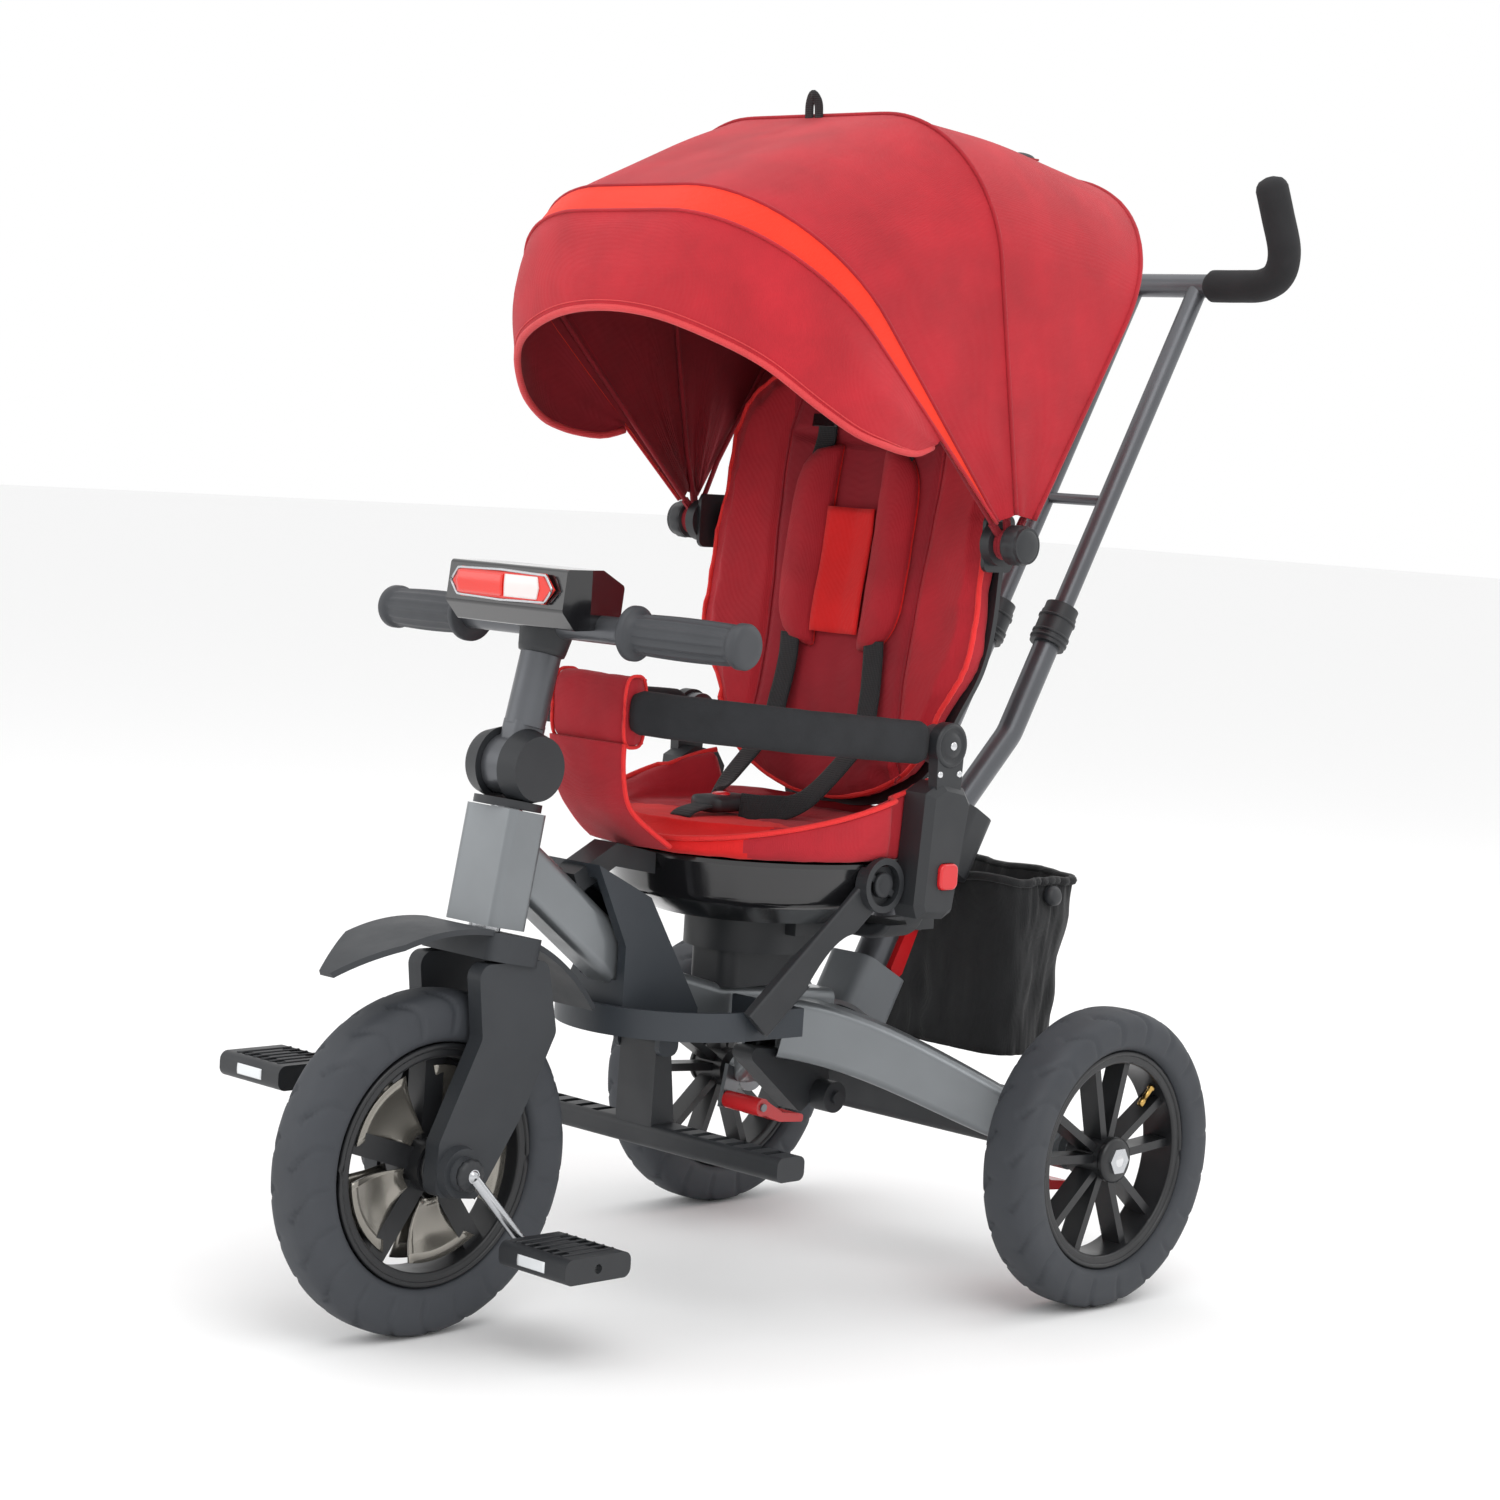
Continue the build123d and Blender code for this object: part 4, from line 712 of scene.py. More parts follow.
# ---------------------------------------------------------------- bars and grips
bar_centre = Vector((0, -327.03 + 127 * math.sin(math.radians(13.4)), 489.93 + 127 * math.cos(math.radians(13.4))))
for side in (1, -1):
    word = "left" if side > 0 else "right"
    direction = Vector((side * 151, 16, -2)).normalized()
    start = at(side * 80, bar_centre.y, bar_centre.z) + direction * 0.024
    profile = [(0.0, 0.013), (0.0, 0.0225), (0.0015, 0.0238), (0.0055, 0.0238), (0.0072, 0.022), (0.009, 0.0172)]
    profile += [(0.009 + 0.106 * i / 24, 0.0166 + 0.0011 * math.sin(math.pi * i / 24)) for i in range(1, 25)]
    profile += [(0.117, 0.0186), (0.119, 0.0196), (0.125, 0.0196), (0.1275, 0.018), (0.128, 0.012)]

    def ridges(along, a, r):
        if not 0.014 < along < 0.112:
            return 0.0
        return 0.0011 * max(math.cos(14 * a), -0.25)

    grip = lathe(f"bar_grip_{word}", start, direction, profile, GRIP_RUBBER, count=112, ridge=ridges)
    settle(grip, "stem_set", "grip_rubber", "bar_grips")

handle_dir = Vector((0, math.sin(HANDLE_LEAN), math.cos(HANDLE_LEAN)))
handle_top = at(0, 337, 617) + handle_dir * 0.405
for side in (1, -1):
    word = "left" if side > 0 else "right"
    corners = [(52, 0, 0), (92, 0, 0), (122, -0.6, 1.5), (143, -4, 12), (152.5, -11, 35), (149, -22, 70), (144, -33, 106)]
    line = smooth_line([handle_top + Vector((side * x / 1000, y / 1000, z / 1000)) for x, y, z in corners], 8)
    horn = sweep(
        f"horn_grip_{word}",
        line,
        ellipse(0.0165, 0.0165, 28),
        HANDLE_FOAM,
        up=(0, 1, 0.3),
        scale=lambda t: min(1.0, 0.62 + 9 * t, 0.25 + math.sqrt(max(1.0 - t, 0.0)) * 3.2),
    )
    settle(horn, "push_bar", "foam", "push_grips")

# Ridged rings on the collars of the push handle.
for side in (1, -1):
    for number, along in enumerate((-0.013, -0.007, 0.010)):
        ring = lathe(
            f"collar_ring_{'left' if side > 0 else 'right'}_{number}",
            at(side * 41, 337, 617) + handle_dir * along,
            handle_dir,
            [(-0.0016, 0.0178), (-0.001, 0.0192), (0.001, 0.0192), (0.0016, 0.0178)],
            PLASTIC,
        )
        settle(ring, "frame", "black_plastic")

# ---------------------------------------------------------------- safety bar


def bar_point(turn):
    """Point on the safety bar's centreline and its outward direction; turn 0 is at the left hinge, 1 mid front."""
    flat = BAR_HALF - BAR_CORNER
    leg = BAR_REACH - BAR_CORNER
    arc = BAR_CORNER * math.pi / 2
    total = leg + arc + flat
    s = turn * total
    if s < leg:
        x, y, out = BAR_HALF, -s, Vector((1, 0, 0))
    elif s < leg + arc:
        a = (s - leg) / BAR_CORNER
        x = flat + BAR_CORNER * math.cos(a)
        y = -leg - BAR_CORNER * math.sin(a)
        out = Vector((math.cos(a), -math.sin(a), 0))
    else:
        x, y, out = flat - (s - leg - arc), -BAR_REACH, Vector((0, -1, 0))
    return at(x, BAR_Y + y * 0.9972, BAR_Z - y * 0.075), out


PAD_START = 0.877
for side in (1, -1):
    word = "left" if side > 0 else "right"
    line = []
    for i in range(44):
        p, _ = bar_point(lerp(0.064, PAD_START, i / 43))
        line.append(Vector((side * p.x, p.y, p.z)))
    sleeve = sweep(
        f"bar_sleeve_{word}",
        line,
        ellipse(0.0118, 0.0195, 30, 2.9),
        BAR_FOAM,
        scale=lambda t: min(1.0, 0.86 + 6 * t, 0.86 + 6 * (1 - t)),
    )
    shift_out(sleeve, lambda p: 0.0006 * noise.noise(p * 42))
    settle(sleeve, "bumper", "foam")
    disc = lathe(
        f"bar_hinge_disc_{word}",
        at(side * 174.4, BAR_Y, BAR_Z),
        (side, 0, 0),
        [(-0.003, 0.0205), (0.0, 0.0205), (0.0016, 0.0188), (0.0016, 0.0164), (0.0004, 0.0158),
         (0.0004, 0.012), (0.002, 0.011), (0.0024, 0.006)],
        PLASTIC,
    )
    settle(disc, "frame", "black_plastic")
    screw = lathe(
        f"bar_hinge_screw_{word}",
        at(side * 176.6, BAR_Y, BAR_Z),
        (side, 0, 0),
        [(-0.001, 0.0042), (0.001, 0.0042), (0.0018, 0.003), (0.0019, 0.0006)],
        BOLT,
        count=20,
    )
    settle(screw, "frame", "bolt")
    for index, (y, z) in enumerate(((30, 493), (56, 493))):
        rivet = lathe(
            f"bracket_rivet_{word}_{index}",
            at(side * 174.4, y + 1, z),
            (side, 0, 0),
            [(-0.002, 0.0034), (0.0006, 0.0034), (0.0014, 0.0022), (0.0016, 0.0004)],
            BOLT,
            count=16,
        )
        settle(rivet, "frame", "bolt")
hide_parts("bar_foam")

# Padded cover over the front of the bar: a cover with its lower seam and edge piping.
pad_line = []
for i in range(41):
    t = i / 40
    turn = lerp(PAD_START + 0.004, 1.0, min(t * 2, 1.0)) if t <= 0.5 else lerp(1.0, PAD_START + 0.004, t * 2 - 1)
    p, _ = bar_point(turn)
    pad_line.append(Vector((p.x if t <= 0.5 else -p.x, p.y, p.z)))
pad_line = even_line(pad_line, 33)
bar_cover = sweep(
    "bar_cover",
    pad_line,
    ellipse(0.0145, 0.0312, 40, 3.4),
    RED,
    scale=lambda t: min(1.0, 0.93 + 1.6 * t, 0.93 + 1.6 * (1 - t)),
)
shift_out(bar_cover, lambda p: 0.0011 * noise.noise(p * 26) + 0.0006 * noise.noise(p * 70))
settle(bar_cover, "bumper", "red_fabric", "bar_pad")
for number, end in enumerate((0, -1)):
    centre = pad_line[end]
    along = (pad_line[1] - pad_line[0]).normalized() if end == 0 else (pad_line[-1] - pad_line[-2]).normalized()
    side_dir = along.cross(Vector((0, 0, 1))).normalized()
    loop = [
        centre + side_dir * a + Vector((0, 0, 1)) * b for a, b in ellipse(0.0148, 0.0314, 44, 3.4)
    ]
    edge = cord_line(f"bar_cover_piping_{number}", loop, 0.0017, PIPING, closed=True)
    settle(edge, "bumper", "red_fabric")
for number, rise in enumerate((-0.0298, 0.0298)):
    line = []
    for i, p in enumerate(pad_line):
        along = (pad_line[min(i + 1, 32)] - pad_line[max(i - 1, 0)]).normalized()
        line.append(p + along.cross(Vector((0, 0, 1))).normalized() * 0.0132 + Vector((0, 0, rise * 0.93)))
    edge = cord_line(f"bar_cover_seam_{number}", line, 0.0014, PIPING)
    settle(edge, "bumper", "red_fabric")

# Panel between the child's legs, hung from the bar cover.
drop = smooth_line([at(0, -243, 512), at(0, -240.5, 492), at(0, -233, 462), at(0, -214, 441), at(0, -184, 419.5)], 8)
drop = even_line(drop, 26)
rows = []
for i, p in enumerate(drop):
    t = i / 25
    half = 0.0475 - 0.004 * math.sin(math.pi * t) + 0.004 * smooth_step(t * 2 - 1)
    row = []
    for j in range(21):
        u = j / 10 - 1
        bow = 0.0045 * (1 - u * u) + 0.0012 * noise.noise(Vector((u * 2.1, t * 5, 0.3)))
        row.append(p + Vector((u * half, -bow * (1 - 0.4 * t), -bow * 0.5 * t)))
    rows.append(row)
panel = grid_piece("leg_panel", rows, RED)
thicken(panel, 0.005)
bevel(panel, 0.0015, 3)
apply_all(panel)
settle(panel, "bumper", "red_fabric", "crotch_panel")
for number, column in enumerate((0, 20)):
    edge = cord_line(f"leg_panel_piping_{number}", [row[column] for row in rows], 0.0024, PIPING)
    settle(edge, "bumper", "red_fabric")

# ---------------------------------------------------------------- seat
def seat_rim(turn):
    """Height of the bucket's rim, in millimetres, round the seat; turn 0 is the child's left, 90 the back."""
    y = SEAT_Y + 158 * math.sin(turn)
    rise = 425 + (min(max(y, -172), 62) + 172) * 59 / 234
    if y > 8:
        rise = lerp(rise, 448, smooth_step((y - 8) / 22) if abs(158 * math.cos(turn)) < 138 else 0.0)
    return rise


def seat_reach(turn, radius):
    """Keeps the bucket clear of the side blocks and of the seat's rear."""
    c, s = abs(math.cos(turn)), math.sin(turn)
    if 0.1 < s < 0.66:
        radius = min(radius, 145.6 / max(c, 0.2))
    if s > 0.3:
        radius = min(radius, (86 - SEAT_Y) / s)
    return radius


BUCKET = 120
seat_rows = []
for i in range(BUCKET):
    turn = 2 * math.pi * i / BUCKET
    top = seat_rim(turn)
    puff = 1.2 * math.sin(9 * turn) * 0.3
    ring = [(40, 439.0), (70, 440.0), (98, 440.5), (118, 439.0), (127, 438.6), (132, 441)]
    wall = []
    for k in range(1, 8):
        t = k / 8
        wall.append((132 + 11 * t + 3.0 * math.sin(math.pi * t) * -1.2, lerp(441, top - 1.5, t) + puff * t))
    lip = [(145, top + 0.6), (150, top + 1.2), (156, top - 0.4), (158.5, top - 4)]
    outer = [(158, lerp(top - 6, 415, t)) for t in (0.3, 0.7)] + [(153, 413.5), (150, 411.3)]
    profile = ring + wall + lip + outer
    seat_rows.append(
        [
            at(
                seat_reach(turn, r) * math.cos(turn),
                SEAT_Y + seat_reach(turn, r) * math.sin(turn),
                z + 0.8 * noise.noise(Vector((r / 22, 3 * math.cos(turn), 3 * math.sin(turn)))),
            )
            for r, z in profile
        ]
    )
verts = [p for row in seat_rows for p in row]
cols = len(seat_rows[0])
faces = grid_faces(BUCKET, cols, wrap_rows=True)
verts.append(at(0, SEAT_Y, 438.4))
verts.append(at(0, SEAT_Y, 411.3))
for i in range(BUCKET):
    k = (i + 1) % BUCKET
    faces.append((i * cols, k * cols, len(verts) - 2))
    faces.append((k * cols + cols - 1, i * cols + cols - 1, len(verts) - 1))
seat = mesh_piece("seat_cushion", verts, faces, RED, BRIGHT)
outward(seat)
finer = seat.modifiers.new("finer", "SUBSURF")
finer.levels = finer.render_levels = 1
apply_all(seat)
for polygon in seat.data.polygons:
    c = polygon.center
    y = c.y * 1000 - SHIFT
    if c.z < 0.452 and y < -62 - 0.0011 * (c.x * 1000) ** 2 * 1.0 and abs(c.x) < 0.1:
        polygon.material_index = 1
channels = []
for front in (-62, -20, 16):
    channels.append([at(x, front - 0.0011 * x * x, 440) for x in range(-112, 113, 8)])
for side in (1, -1):
    channels.append([at(side * (88 + 0.0006 * (y + 20) ** 2), y, 440) for y in range(-100, 21, 8)])
crease(seat, channels, 0.006, 0.0022)
shift_out(seat, lambda p: 0.0007 * noise.noise(p * 60))
settle(seat, "frame", "red_fabric", "seat_pad")
rim_line = []
for i in range(BUCKET + 1):
    turn = math.radians(152) + math.radians(236) * i / BUCKET
    rim_line.append(
        at(
            seat_reach(turn, 156.5) * math.cos(turn),
            SEAT_Y + seat_reach(turn, 156.5) * math.sin(turn),
            seat_rim(turn) + 0.8,
        )
    )
settle(cord_line("seat_rim_piping", rim_line, 0.0026, PIPING), "frame", "red_fabric")

# ---------------------------------------------------------------- backrest


def back_point(x, v, w):
    """Point of the backrest: across, up its face, and out of its front plane."""
    s, c = math.sin(BACK_LEAN), math.cos(BACK_LEAN)
    return at(x, BACK_ORIGIN[1] + v * s - w * c, BACK_ORIGIN[2] + v * c + w * s)


def back_face(x):
    """Depth of the hollow front face."""
    return 764 - math.sqrt(784**2 - x * x)


def back_local(p):
    y, z = p.y * 1000 - SHIFT - BACK_ORIGIN[1], p.z * 1000 - BACK_ORIGIN[2]
    s, c = math.sin(BACK_LEAN), math.cos(BACK_LEAN)
    return p.x * 1000, y * s + z * c, -y * c + z * s


backrest = stuffed("backrest_cushion", "backrest_pad", 0.005, 0.006, 4.0, RED, RED_DARK, shrink=0.003)
wing_left = [
    back_point(x, v, back_face(x))
    for x, v in [(104, -84), (96, -40), (92, 20), (94, 90), (99, 160), (101, 230), (88, 296)]
]
wing_lines = []
for side in (1, -1):
    points = smooth_line([Vector((side * p.x, p.y, p.z)) for p in wing_left], 8)
    wing_lines.append(points)
head_line = smooth_line([back_point(x, 232 + 0.0006 * x * x, back_face(x)) for x in range(-96, 97, 16)], 3)
crease(backrest, wing_lines + [head_line], 0.010, 0.0042)
for polygon in backrest.data.polygons:
    x, v, w = back_local(polygon.center)
    if abs(x) < 93 + 8 * (v / 300) and w > back_face(min(abs(x), 180)) - 12:
        polygon.material_index = 1


def back_wrinkle(p):
    x, v, _ = back_local(p)
    folds = math.sin(v / 17 + 2.5 * noise.noise(Vector((x / 60, v / 80, 0))))
    edge = smooth_step((abs(x) - 96) / 30)
    return 0.0009 * folds * edge + 0.0011 * noise.noise(Vector((x / 26, v / 40, 1.7)))


shift_out(backrest, back_wrinkle)
settle(backrest, "backrest", "red_fabric", "backrest_pad")
surface = BVHTree.FromObject(backrest, bpy.context.evaluated_depsgraph_get())


def on_back(x, v, lift):
    """Point just in front of the finished cushion."""
    start = back_point(x, v, 60)
    normal = Vector((0, math.cos(BACK_LEAN), -math.sin(BACK_LEAN)))
    hit = surface.ray_cast(start, normal, 0.12)
    base = hit[0] if hit[0] is not None else back_point(x, v, back_face(min(abs(x), 180)))
    return base - normal * lift


outline = [(0, -110), (92, -92), (132, -57), (148, -22), (171, 20), (177, 80), (177.5, 143), (174, 205),
           (167, 257), (143, 293), (104, 306), (0, 309)]
for side in (1, -1):
    line = smooth_line([back_point(side * x, v, back_face(min(abs(x), 180)) - 5) for x, v in outline], 8)
    line = [surface.find_nearest(p)[0] for p in line]
    settle(
        cord_line(f"backrest_piping_{'left' if side > 0 else 'right'}", line, 0.0027, PIPING),
        "backrest",
        "red_fabric",
    )
for number, points in enumerate(wing_lines):
    line = []
    for p in points:
        x, v, _ = back_local(p)
        line.append(on_back(x, v, 0.0004))
    settle(cord_line(f"wing_seam_{number}", line, 0.0012, RED_DARK), "backrest", "red_fabric")

# Shoulder pads with bright binding, joined by a flap.
for side in (1, -1):
    word = "left" if side > 0 else "right"
    rows = []
    for i in range(27):
        t = i / 26
        v = lerp(36, 226, t)
        round_end = math.sqrt(max(1 - abs(2 * t - 1) ** 5, 0.0))
        inner, outer = 31.5, 31.5 + 46 * max(round_end, 0.02)
        row = []
        for j in range(15):
            u = j / 14
            x = lerp(inner, outer, u)
            crown = math.sin(math.pi * u) ** 0.6 * math.sqrt(max(round_end, 0.0))
            row.append(on_back(side * x, v, 0.0018 + 0.0105 * crown + 0.0006 * noise.noise(Vector((x / 9, v / 14, side)))))
        rows.append(row)
    pad = grid_piece(f"shoulder_pad_{word}", rows, RED)
    thicken(pad, 0.003, 1.0 if side > 0 else -1.0)
    apply_all(pad)
    settle(pad, "backrest", "red_fabric")
    loop = [row[14] for row in rows] + [row[0] for row in rows[::-1]]
    edge = cord_line(f"shoulder_pad_piping_{word}", even_line(smooth_line(loop, 3), 120), 0.0022, BRIGHT, closed=True)
    settle(edge, "backrest", "red_fabric")
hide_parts("shoulder_pads")
rows = []
for i in range(17):
    t = i / 16
    v = lerp(48, 176 - 10 * math.sin(t), t)
    rows.append([on_back(lerp(-30, 30, j / 10), v, 0.003 + 0.006 * abs(j / 5 - 1) + 0.0008 * math.sin(7 * t)) for j in range(11)])
flap = grid_piece("chest_flap", rows, BRIGHT)
thicken(flap, 0.002)
apply_all(flap)
settle(flap, "backrest", "red_fabric")

# Harness straps: over the shoulders, and down to the buckle on the seat.


def strap(name, points, width, material=WEBBING, thick=0.0016, face=(0, -1, 0.2)):
    """Flat webbing through points; its broad side keeps facing one way."""
    line = even_line(smooth_line(points, 10), 48)
    return sweep(name, line, ellipse(width / 2, thick, 12, 4), material, up=face)


for side in (1, -1):
    word = "left" if side > 0 else "right"
    upper = [on_back(side * x, v, 0.0035 + lift) for x, v, lift in
             ((53, 206, 0.004), (52.5, 232, 0.001), (51, 258, 0.001), (50, 284, 0.001))]
    upper.append(on_back(side * 49, 292, -0.006))
    piece = strap(f"harness_upper_{word}", upper, 0.025)
    settle(piece, "backrest", "black_fabric")
    slide = strap(f"harness_slide_{word}", [on_back(side * 51.5, v, 0.0075) for v in (243, 247, 251, 255)], 0.034, GLOSS, 0.0018)
    settle(slide, "backrest", "gloss_black")
    lower = [on_back(side * x, v, 0.004 + lift) for x, v, lift in
             ((54, 44, 0.004), (55, 20, 0.001), (58, -14, 0.002), (60, -50, 0.008))]
    lower += [at(side * 58, -2, 470), at(side * 50, -28, 452.5), at(side * 34, -52, 448.5), at(side * 18, -66, 449)]
    piece = strap(f"harness_lower_{word}", lower, 0.025)
    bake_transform(piece)

buckle_rows = []
for i in range(15):
    t = i / 14
    grow = min(1.0, 0.55 + 2.6 * math.sqrt(t * (1 - t)))
    buckle_rows.append([at(a * grow * 19, -71 - 25 * (2 * t - 1), 450.5 + b * grow * 8) for a, b in ellipse(1, 1, 28, 3.2)])
buckle = grid_piece("harness_buckle", buckle_rows, PLASTIC, wrap_cols=True, caps=True)
settle(buckle, "frame", "black_plastic")
press = lathe("buckle_button", at(0, -73, 457.6), (0, -0.06, 1),
              [(0.0, 0.0085), (0.0016, 0.0085), (0.0026, 0.0072), (0.0029, 0.004)], RED_PLASTIC, count=32)
settle(press, "frame", "red_plastic")
strap_between = strap("harness_crotch", [at(0, -94, 449), at(0, -106, 447), at(0, -118, 444), at(0, -124, 440)],
                      0.026, face=(0, 0, 1))
settle(strap_between, "frame", "black_fabric")

# ---------------------------------------------------------------- hood
REAR_RIB = (31.0, 219.0, 408.0, 168.0)
MID_RIB = (-11.0, 214.0, 386.0, 130.0)
BAND_REAR = (-44.1, 205.0, 411.0, 150.0)
BAND_FRONT = (-48.7, 205.6, 411.0, 150.0)
HOOD_FOOT = 28.0
LEG, ARC, TOP = 24, 16, 22
HOOD_COLS = 2 * (LEG + ARC) + TOP + 1


def rib_spot(angle, x, q):
    """Point in the plane of a rib, across and out from the hinge."""
    turn = math.radians(angle)
    return at(x, HINGE_Y + q * math.sin(turn), HINGE_Z + q * math.cos(turn))


def hood_arch(rib, foot=HOOD_FOOT, round_top=0.0):
    """The hood's outer line at one rib, from the left foot over the top to the right foot."""
    angle, half, apex, corner = rib
    edge = apex - corner
    flat = half - corner
    line = []
    for i in range(LEG):
        line.append((half, lerp(foot, edge, (i / LEG) ** 1.25)))
    for i in range(ARC):
        a = 0.5 * math.pi * i / ARC
        line.append((flat + corner * math.cos(a), edge + corner * math.sin(a)))
    for i in range(TOP + 1):
        x = lerp(flat, -flat, i / TOP)
        line.append((x, apex))
    line += [(-x, q) for x, q in line[: LEG + ARC][::-1]]
    return [rib_spot(angle, x, q + round_top * (1 - (x / half) ** 2)) for x, q in line]


def normals_of(rows):
    """Outward direction at each point of a grid of points."""
    result = []
    for i, row in enumerate(rows):
        line = []
        for j, p in enumerate(row):
            across = rows[min(i + 1, len(rows) - 1)][j] - rows[max(i - 1, 0)][j]
            along = row[min(j + 1, len(row) - 1)] - row[max(j - 1, 0)]
            line.append(across.cross(along).normalized())
        result.append(line)
    return result


def cloth_part(name, rows, normals, depths, spans, outer, inner):
    """Double-faced cloth over some columns of a grid, shaded as one with its neighbours."""
    verts, faces, paints, shading = [], [], [], []
    for first, last in spans:
        cols = last - first + 1
        base = len(verts)
        for i, row in enumerate(rows):
            for j in range(first, last + 1):
                verts.append(row[j])
                shading.append(normals[i][j])
        under = len(verts)
        for i, row in enumerate(rows):
            for j in range(first, last + 1):
                verts.append(row[j] - normals[i][j] * depths[i][j])
                shading.append(-normals[i][j])
        for a, b, c, d in grid_faces(len(rows), cols):
            faces.append((base + a, base + d, base + c, base + b))
            paints.append(0)
            faces.append((under + a, under + b, under + c, under + d))
            paints.append(1)
        for i in (0, len(rows) - 1):
            for j in range(cols - 1):
                a, b = i * cols + j, i * cols + j + 1
                quad = (base + a, base + b, under + b, under + a)
                faces.append(quad if i == 0 else quad[::-1])
                paints.append(0)
        for j in (0, cols - 1):
            for i in range(len(rows) - 1):
                a, b = i * cols + j, (i + 1) * cols + j
                quad = (base + a, under + a, under + b, base + b)
                faces.append(quad if j == 0 else quad[::-1])
                paints.append(0)
    a, b, c, d = (verts[k] for k in faces[0])
    if (c - a).cross(d - b).dot(shading[faces[0][0]]) < 0:
        faces = [face[::-1] for face in faces]
    obj = mesh_piece(name, verts, faces, outer, inner)
    obj.data.polygons.foreach_set("material_index", paints)
    obj.data.normals_split_custom_set_from_vertices([tuple(n) for n in shading])
    return obj


def hood_panel(name, node, start_rib, end_rib, steps, belly, seed):
    """Cloth between two ribs, cut into bands of columns; hides the CAD panel it replaces."""
    first, last = hood_arch(start_rib), hood_arch(end_rib)
    rows, depths = [], []
    for i in range(steps + 1):
        t = i / steps
        row, depth = [], []
        loose = math.sin(math.pi * t)
        for j in range(HOOD_COLS):
            p = lerp(first[j], last[j], t)
            side = abs(2 * j / (HOOD_COLS - 1) - 1)
            hinge = at(p.x * 1000, HINGE_Y, HINGE_Z)
            away = (p - hinge).normalized()
            out = (p - at(0, HINGE_Y + 10, HINGE_Z + 60)).normalized()
            fold = noise.noise(Vector((t * 2.2 + seed, side * 7.0, 3.0 if p.x > 0 else 8.0)))
            pull = math.sin(9 * side + 5 * t + seed) * smooth_step((side - 0.45) / 0.4)
            p = p + away * (belly * loose * (1 - smooth_step((side - 0.5) / 0.4)) / 1000)
            p = p + out * (loose * (0.0026 * fold + 0.0011 * pull))
            row.append(p)
            pleat = 0.5 + 0.5 * math.sin(21 * t + 1.3 * seed + 2.0 * side)
            near = smooth_step((side - 0.55) / 0.3) * (1 - smooth_step((side - 0.97) / 0.03))
            depth.append(0.0026 + loose * near * 0.0075 * pleat)
        rows.append(row)
        depths.append(depth)
    normals = normals_of(rows)
    if normals[steps // 2][HOOD_COLS // 2].z < 0:
        normals = [[-n for n in row] for row in normals]
    edges = [0, 9, 15, 20, 24, 31, HOOD_COLS - 1 - 31]
    for k in range(len(edges) - 1):
        if k == 5:
            spans = [(edges[5], edges[6])]
        else:
            spans = [(edges[k], edges[k + 1]), (HOOD_COLS - 1 - edges[k + 1], HOOD_COLS - 1 - edges[k])]
        piece = cloth_part(f"{name}_{k}", rows, normals, depths, spans, RED, RED_INSIDE)
        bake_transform(piece)
    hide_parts(node)
    return rows


rear_rows = hood_panel("hood_rear", "canopy_panel_rear", REAR_RIB, (MID_RIB[0] + 0.1,) + MID_RIB[1:],
                       22, 5.0, 1.0)
front_rows = hood_panel("hood_front", "canopy_panel_front", (MID_RIB[0] - 0.1,) + MID_RIB[1:], BAND_REAR,
                        20, 2.0, 4.0)


def arch_cord(name, rib, radius, material, body, lift=0.0, foot=HOOD_FOOT):
    line = hood_arch((rib[0], rib[1] + lift, rib[2] + lift, rib[3]), foot)
    cord = cord_line(name, even_line(line, 110), radius, material)
    return settle(cord, body, "red_fabric")


arch_cord("hood_mid_piping", MID_RIB, 0.0021, BACK_RED, "canopy_mid", 0.6)
arch_cord("hood_rear_piping", REAR_RIB, 0.0026, BACK_RED, "canopy_rear", 0.0)

# Orange band over the front rib.
band_rows = []
for i in range(6):
    t = i / 5
    arch = hood_arch((lerp(BAND_REAR[0], BAND_FRONT[0], t), BAND_REAR[1] + 0.7, BAND_REAR[2] + 0.7, BAND_REAR[3]))
    band_rows.append(arch)
band_depths = [[0.003] * HOOD_COLS for _ in band_rows]
band_normals = normals_of(band_rows)
if band_normals[2][HOOD_COLS // 2].z < 0:
    band_normals = [[-n for n in row] for row in band_normals]
band = cloth_part("hood_band", band_rows, band_normals, band_depths, [(0, HOOD_COLS - 1)], ORANGE, RED_INSIDE)
settle(band, "canopy_front", "coral_fabric")
arch_cord("hood_band_piping_rear", BAND_REAR, 0.0017, BACK_RED, "canopy_front", 0.6)
arch_cord("hood_band_piping_front", BAND_FRONT, 0.0015, CORAL, "canopy_front", 0.6)

# Visor: from the band down to its own curved edge.
visor_top = [p for p in hood_arch(BAND_FRONT) if (p - at(p.x * 1000, HINGE_Y, HINGE_Z)).length > 0.128]
VISOR_COLS = 81
visor_top = even_line(visor_top, VISOR_COLS)
edge_half = [(0, -257, 890), (62, -252, 884.5), (121, -237, 867), (161, -212, 846), (190, -176, 815),
             (204, -140, 794), (210, -108, 785), (208, -84, 781), (204, -60, 780), (199.5, -36, 786)]
edge_line = [at(*p) for p in edge_half[::-1]] + [at(-x, y, z) for x, y, z in edge_half[1:]]
visor_edge = even_line(smooth_line(edge_line, 10), VISOR_COLS)
VISOR_STEPS = 16
visor_rows, visor_depths = [], []
for i in range(VISOR_STEPS + 1):
    t = i / VISOR_STEPS
    row = []
    for j in range(VISOR_COLS):
        p = lerp(visor_top[j], visor_edge[j], t)
        side = abs(2 * j / (VISOR_COLS - 1) - 1)
        out = (p - at(0, -60, 760)).normalized()
        swell = math.sin(math.pi * t)
        p = p + out * (swell * (0.0085 * (1 - side**4) + 0.0016 * noise.noise(Vector((t * 3, side * 5, p.x * 4)))))
        row.append(p)
    visor_rows.append(row)
    visor_depths.append([0.0028] * VISOR_COLS)
visor_normals = normals_of(visor_rows)
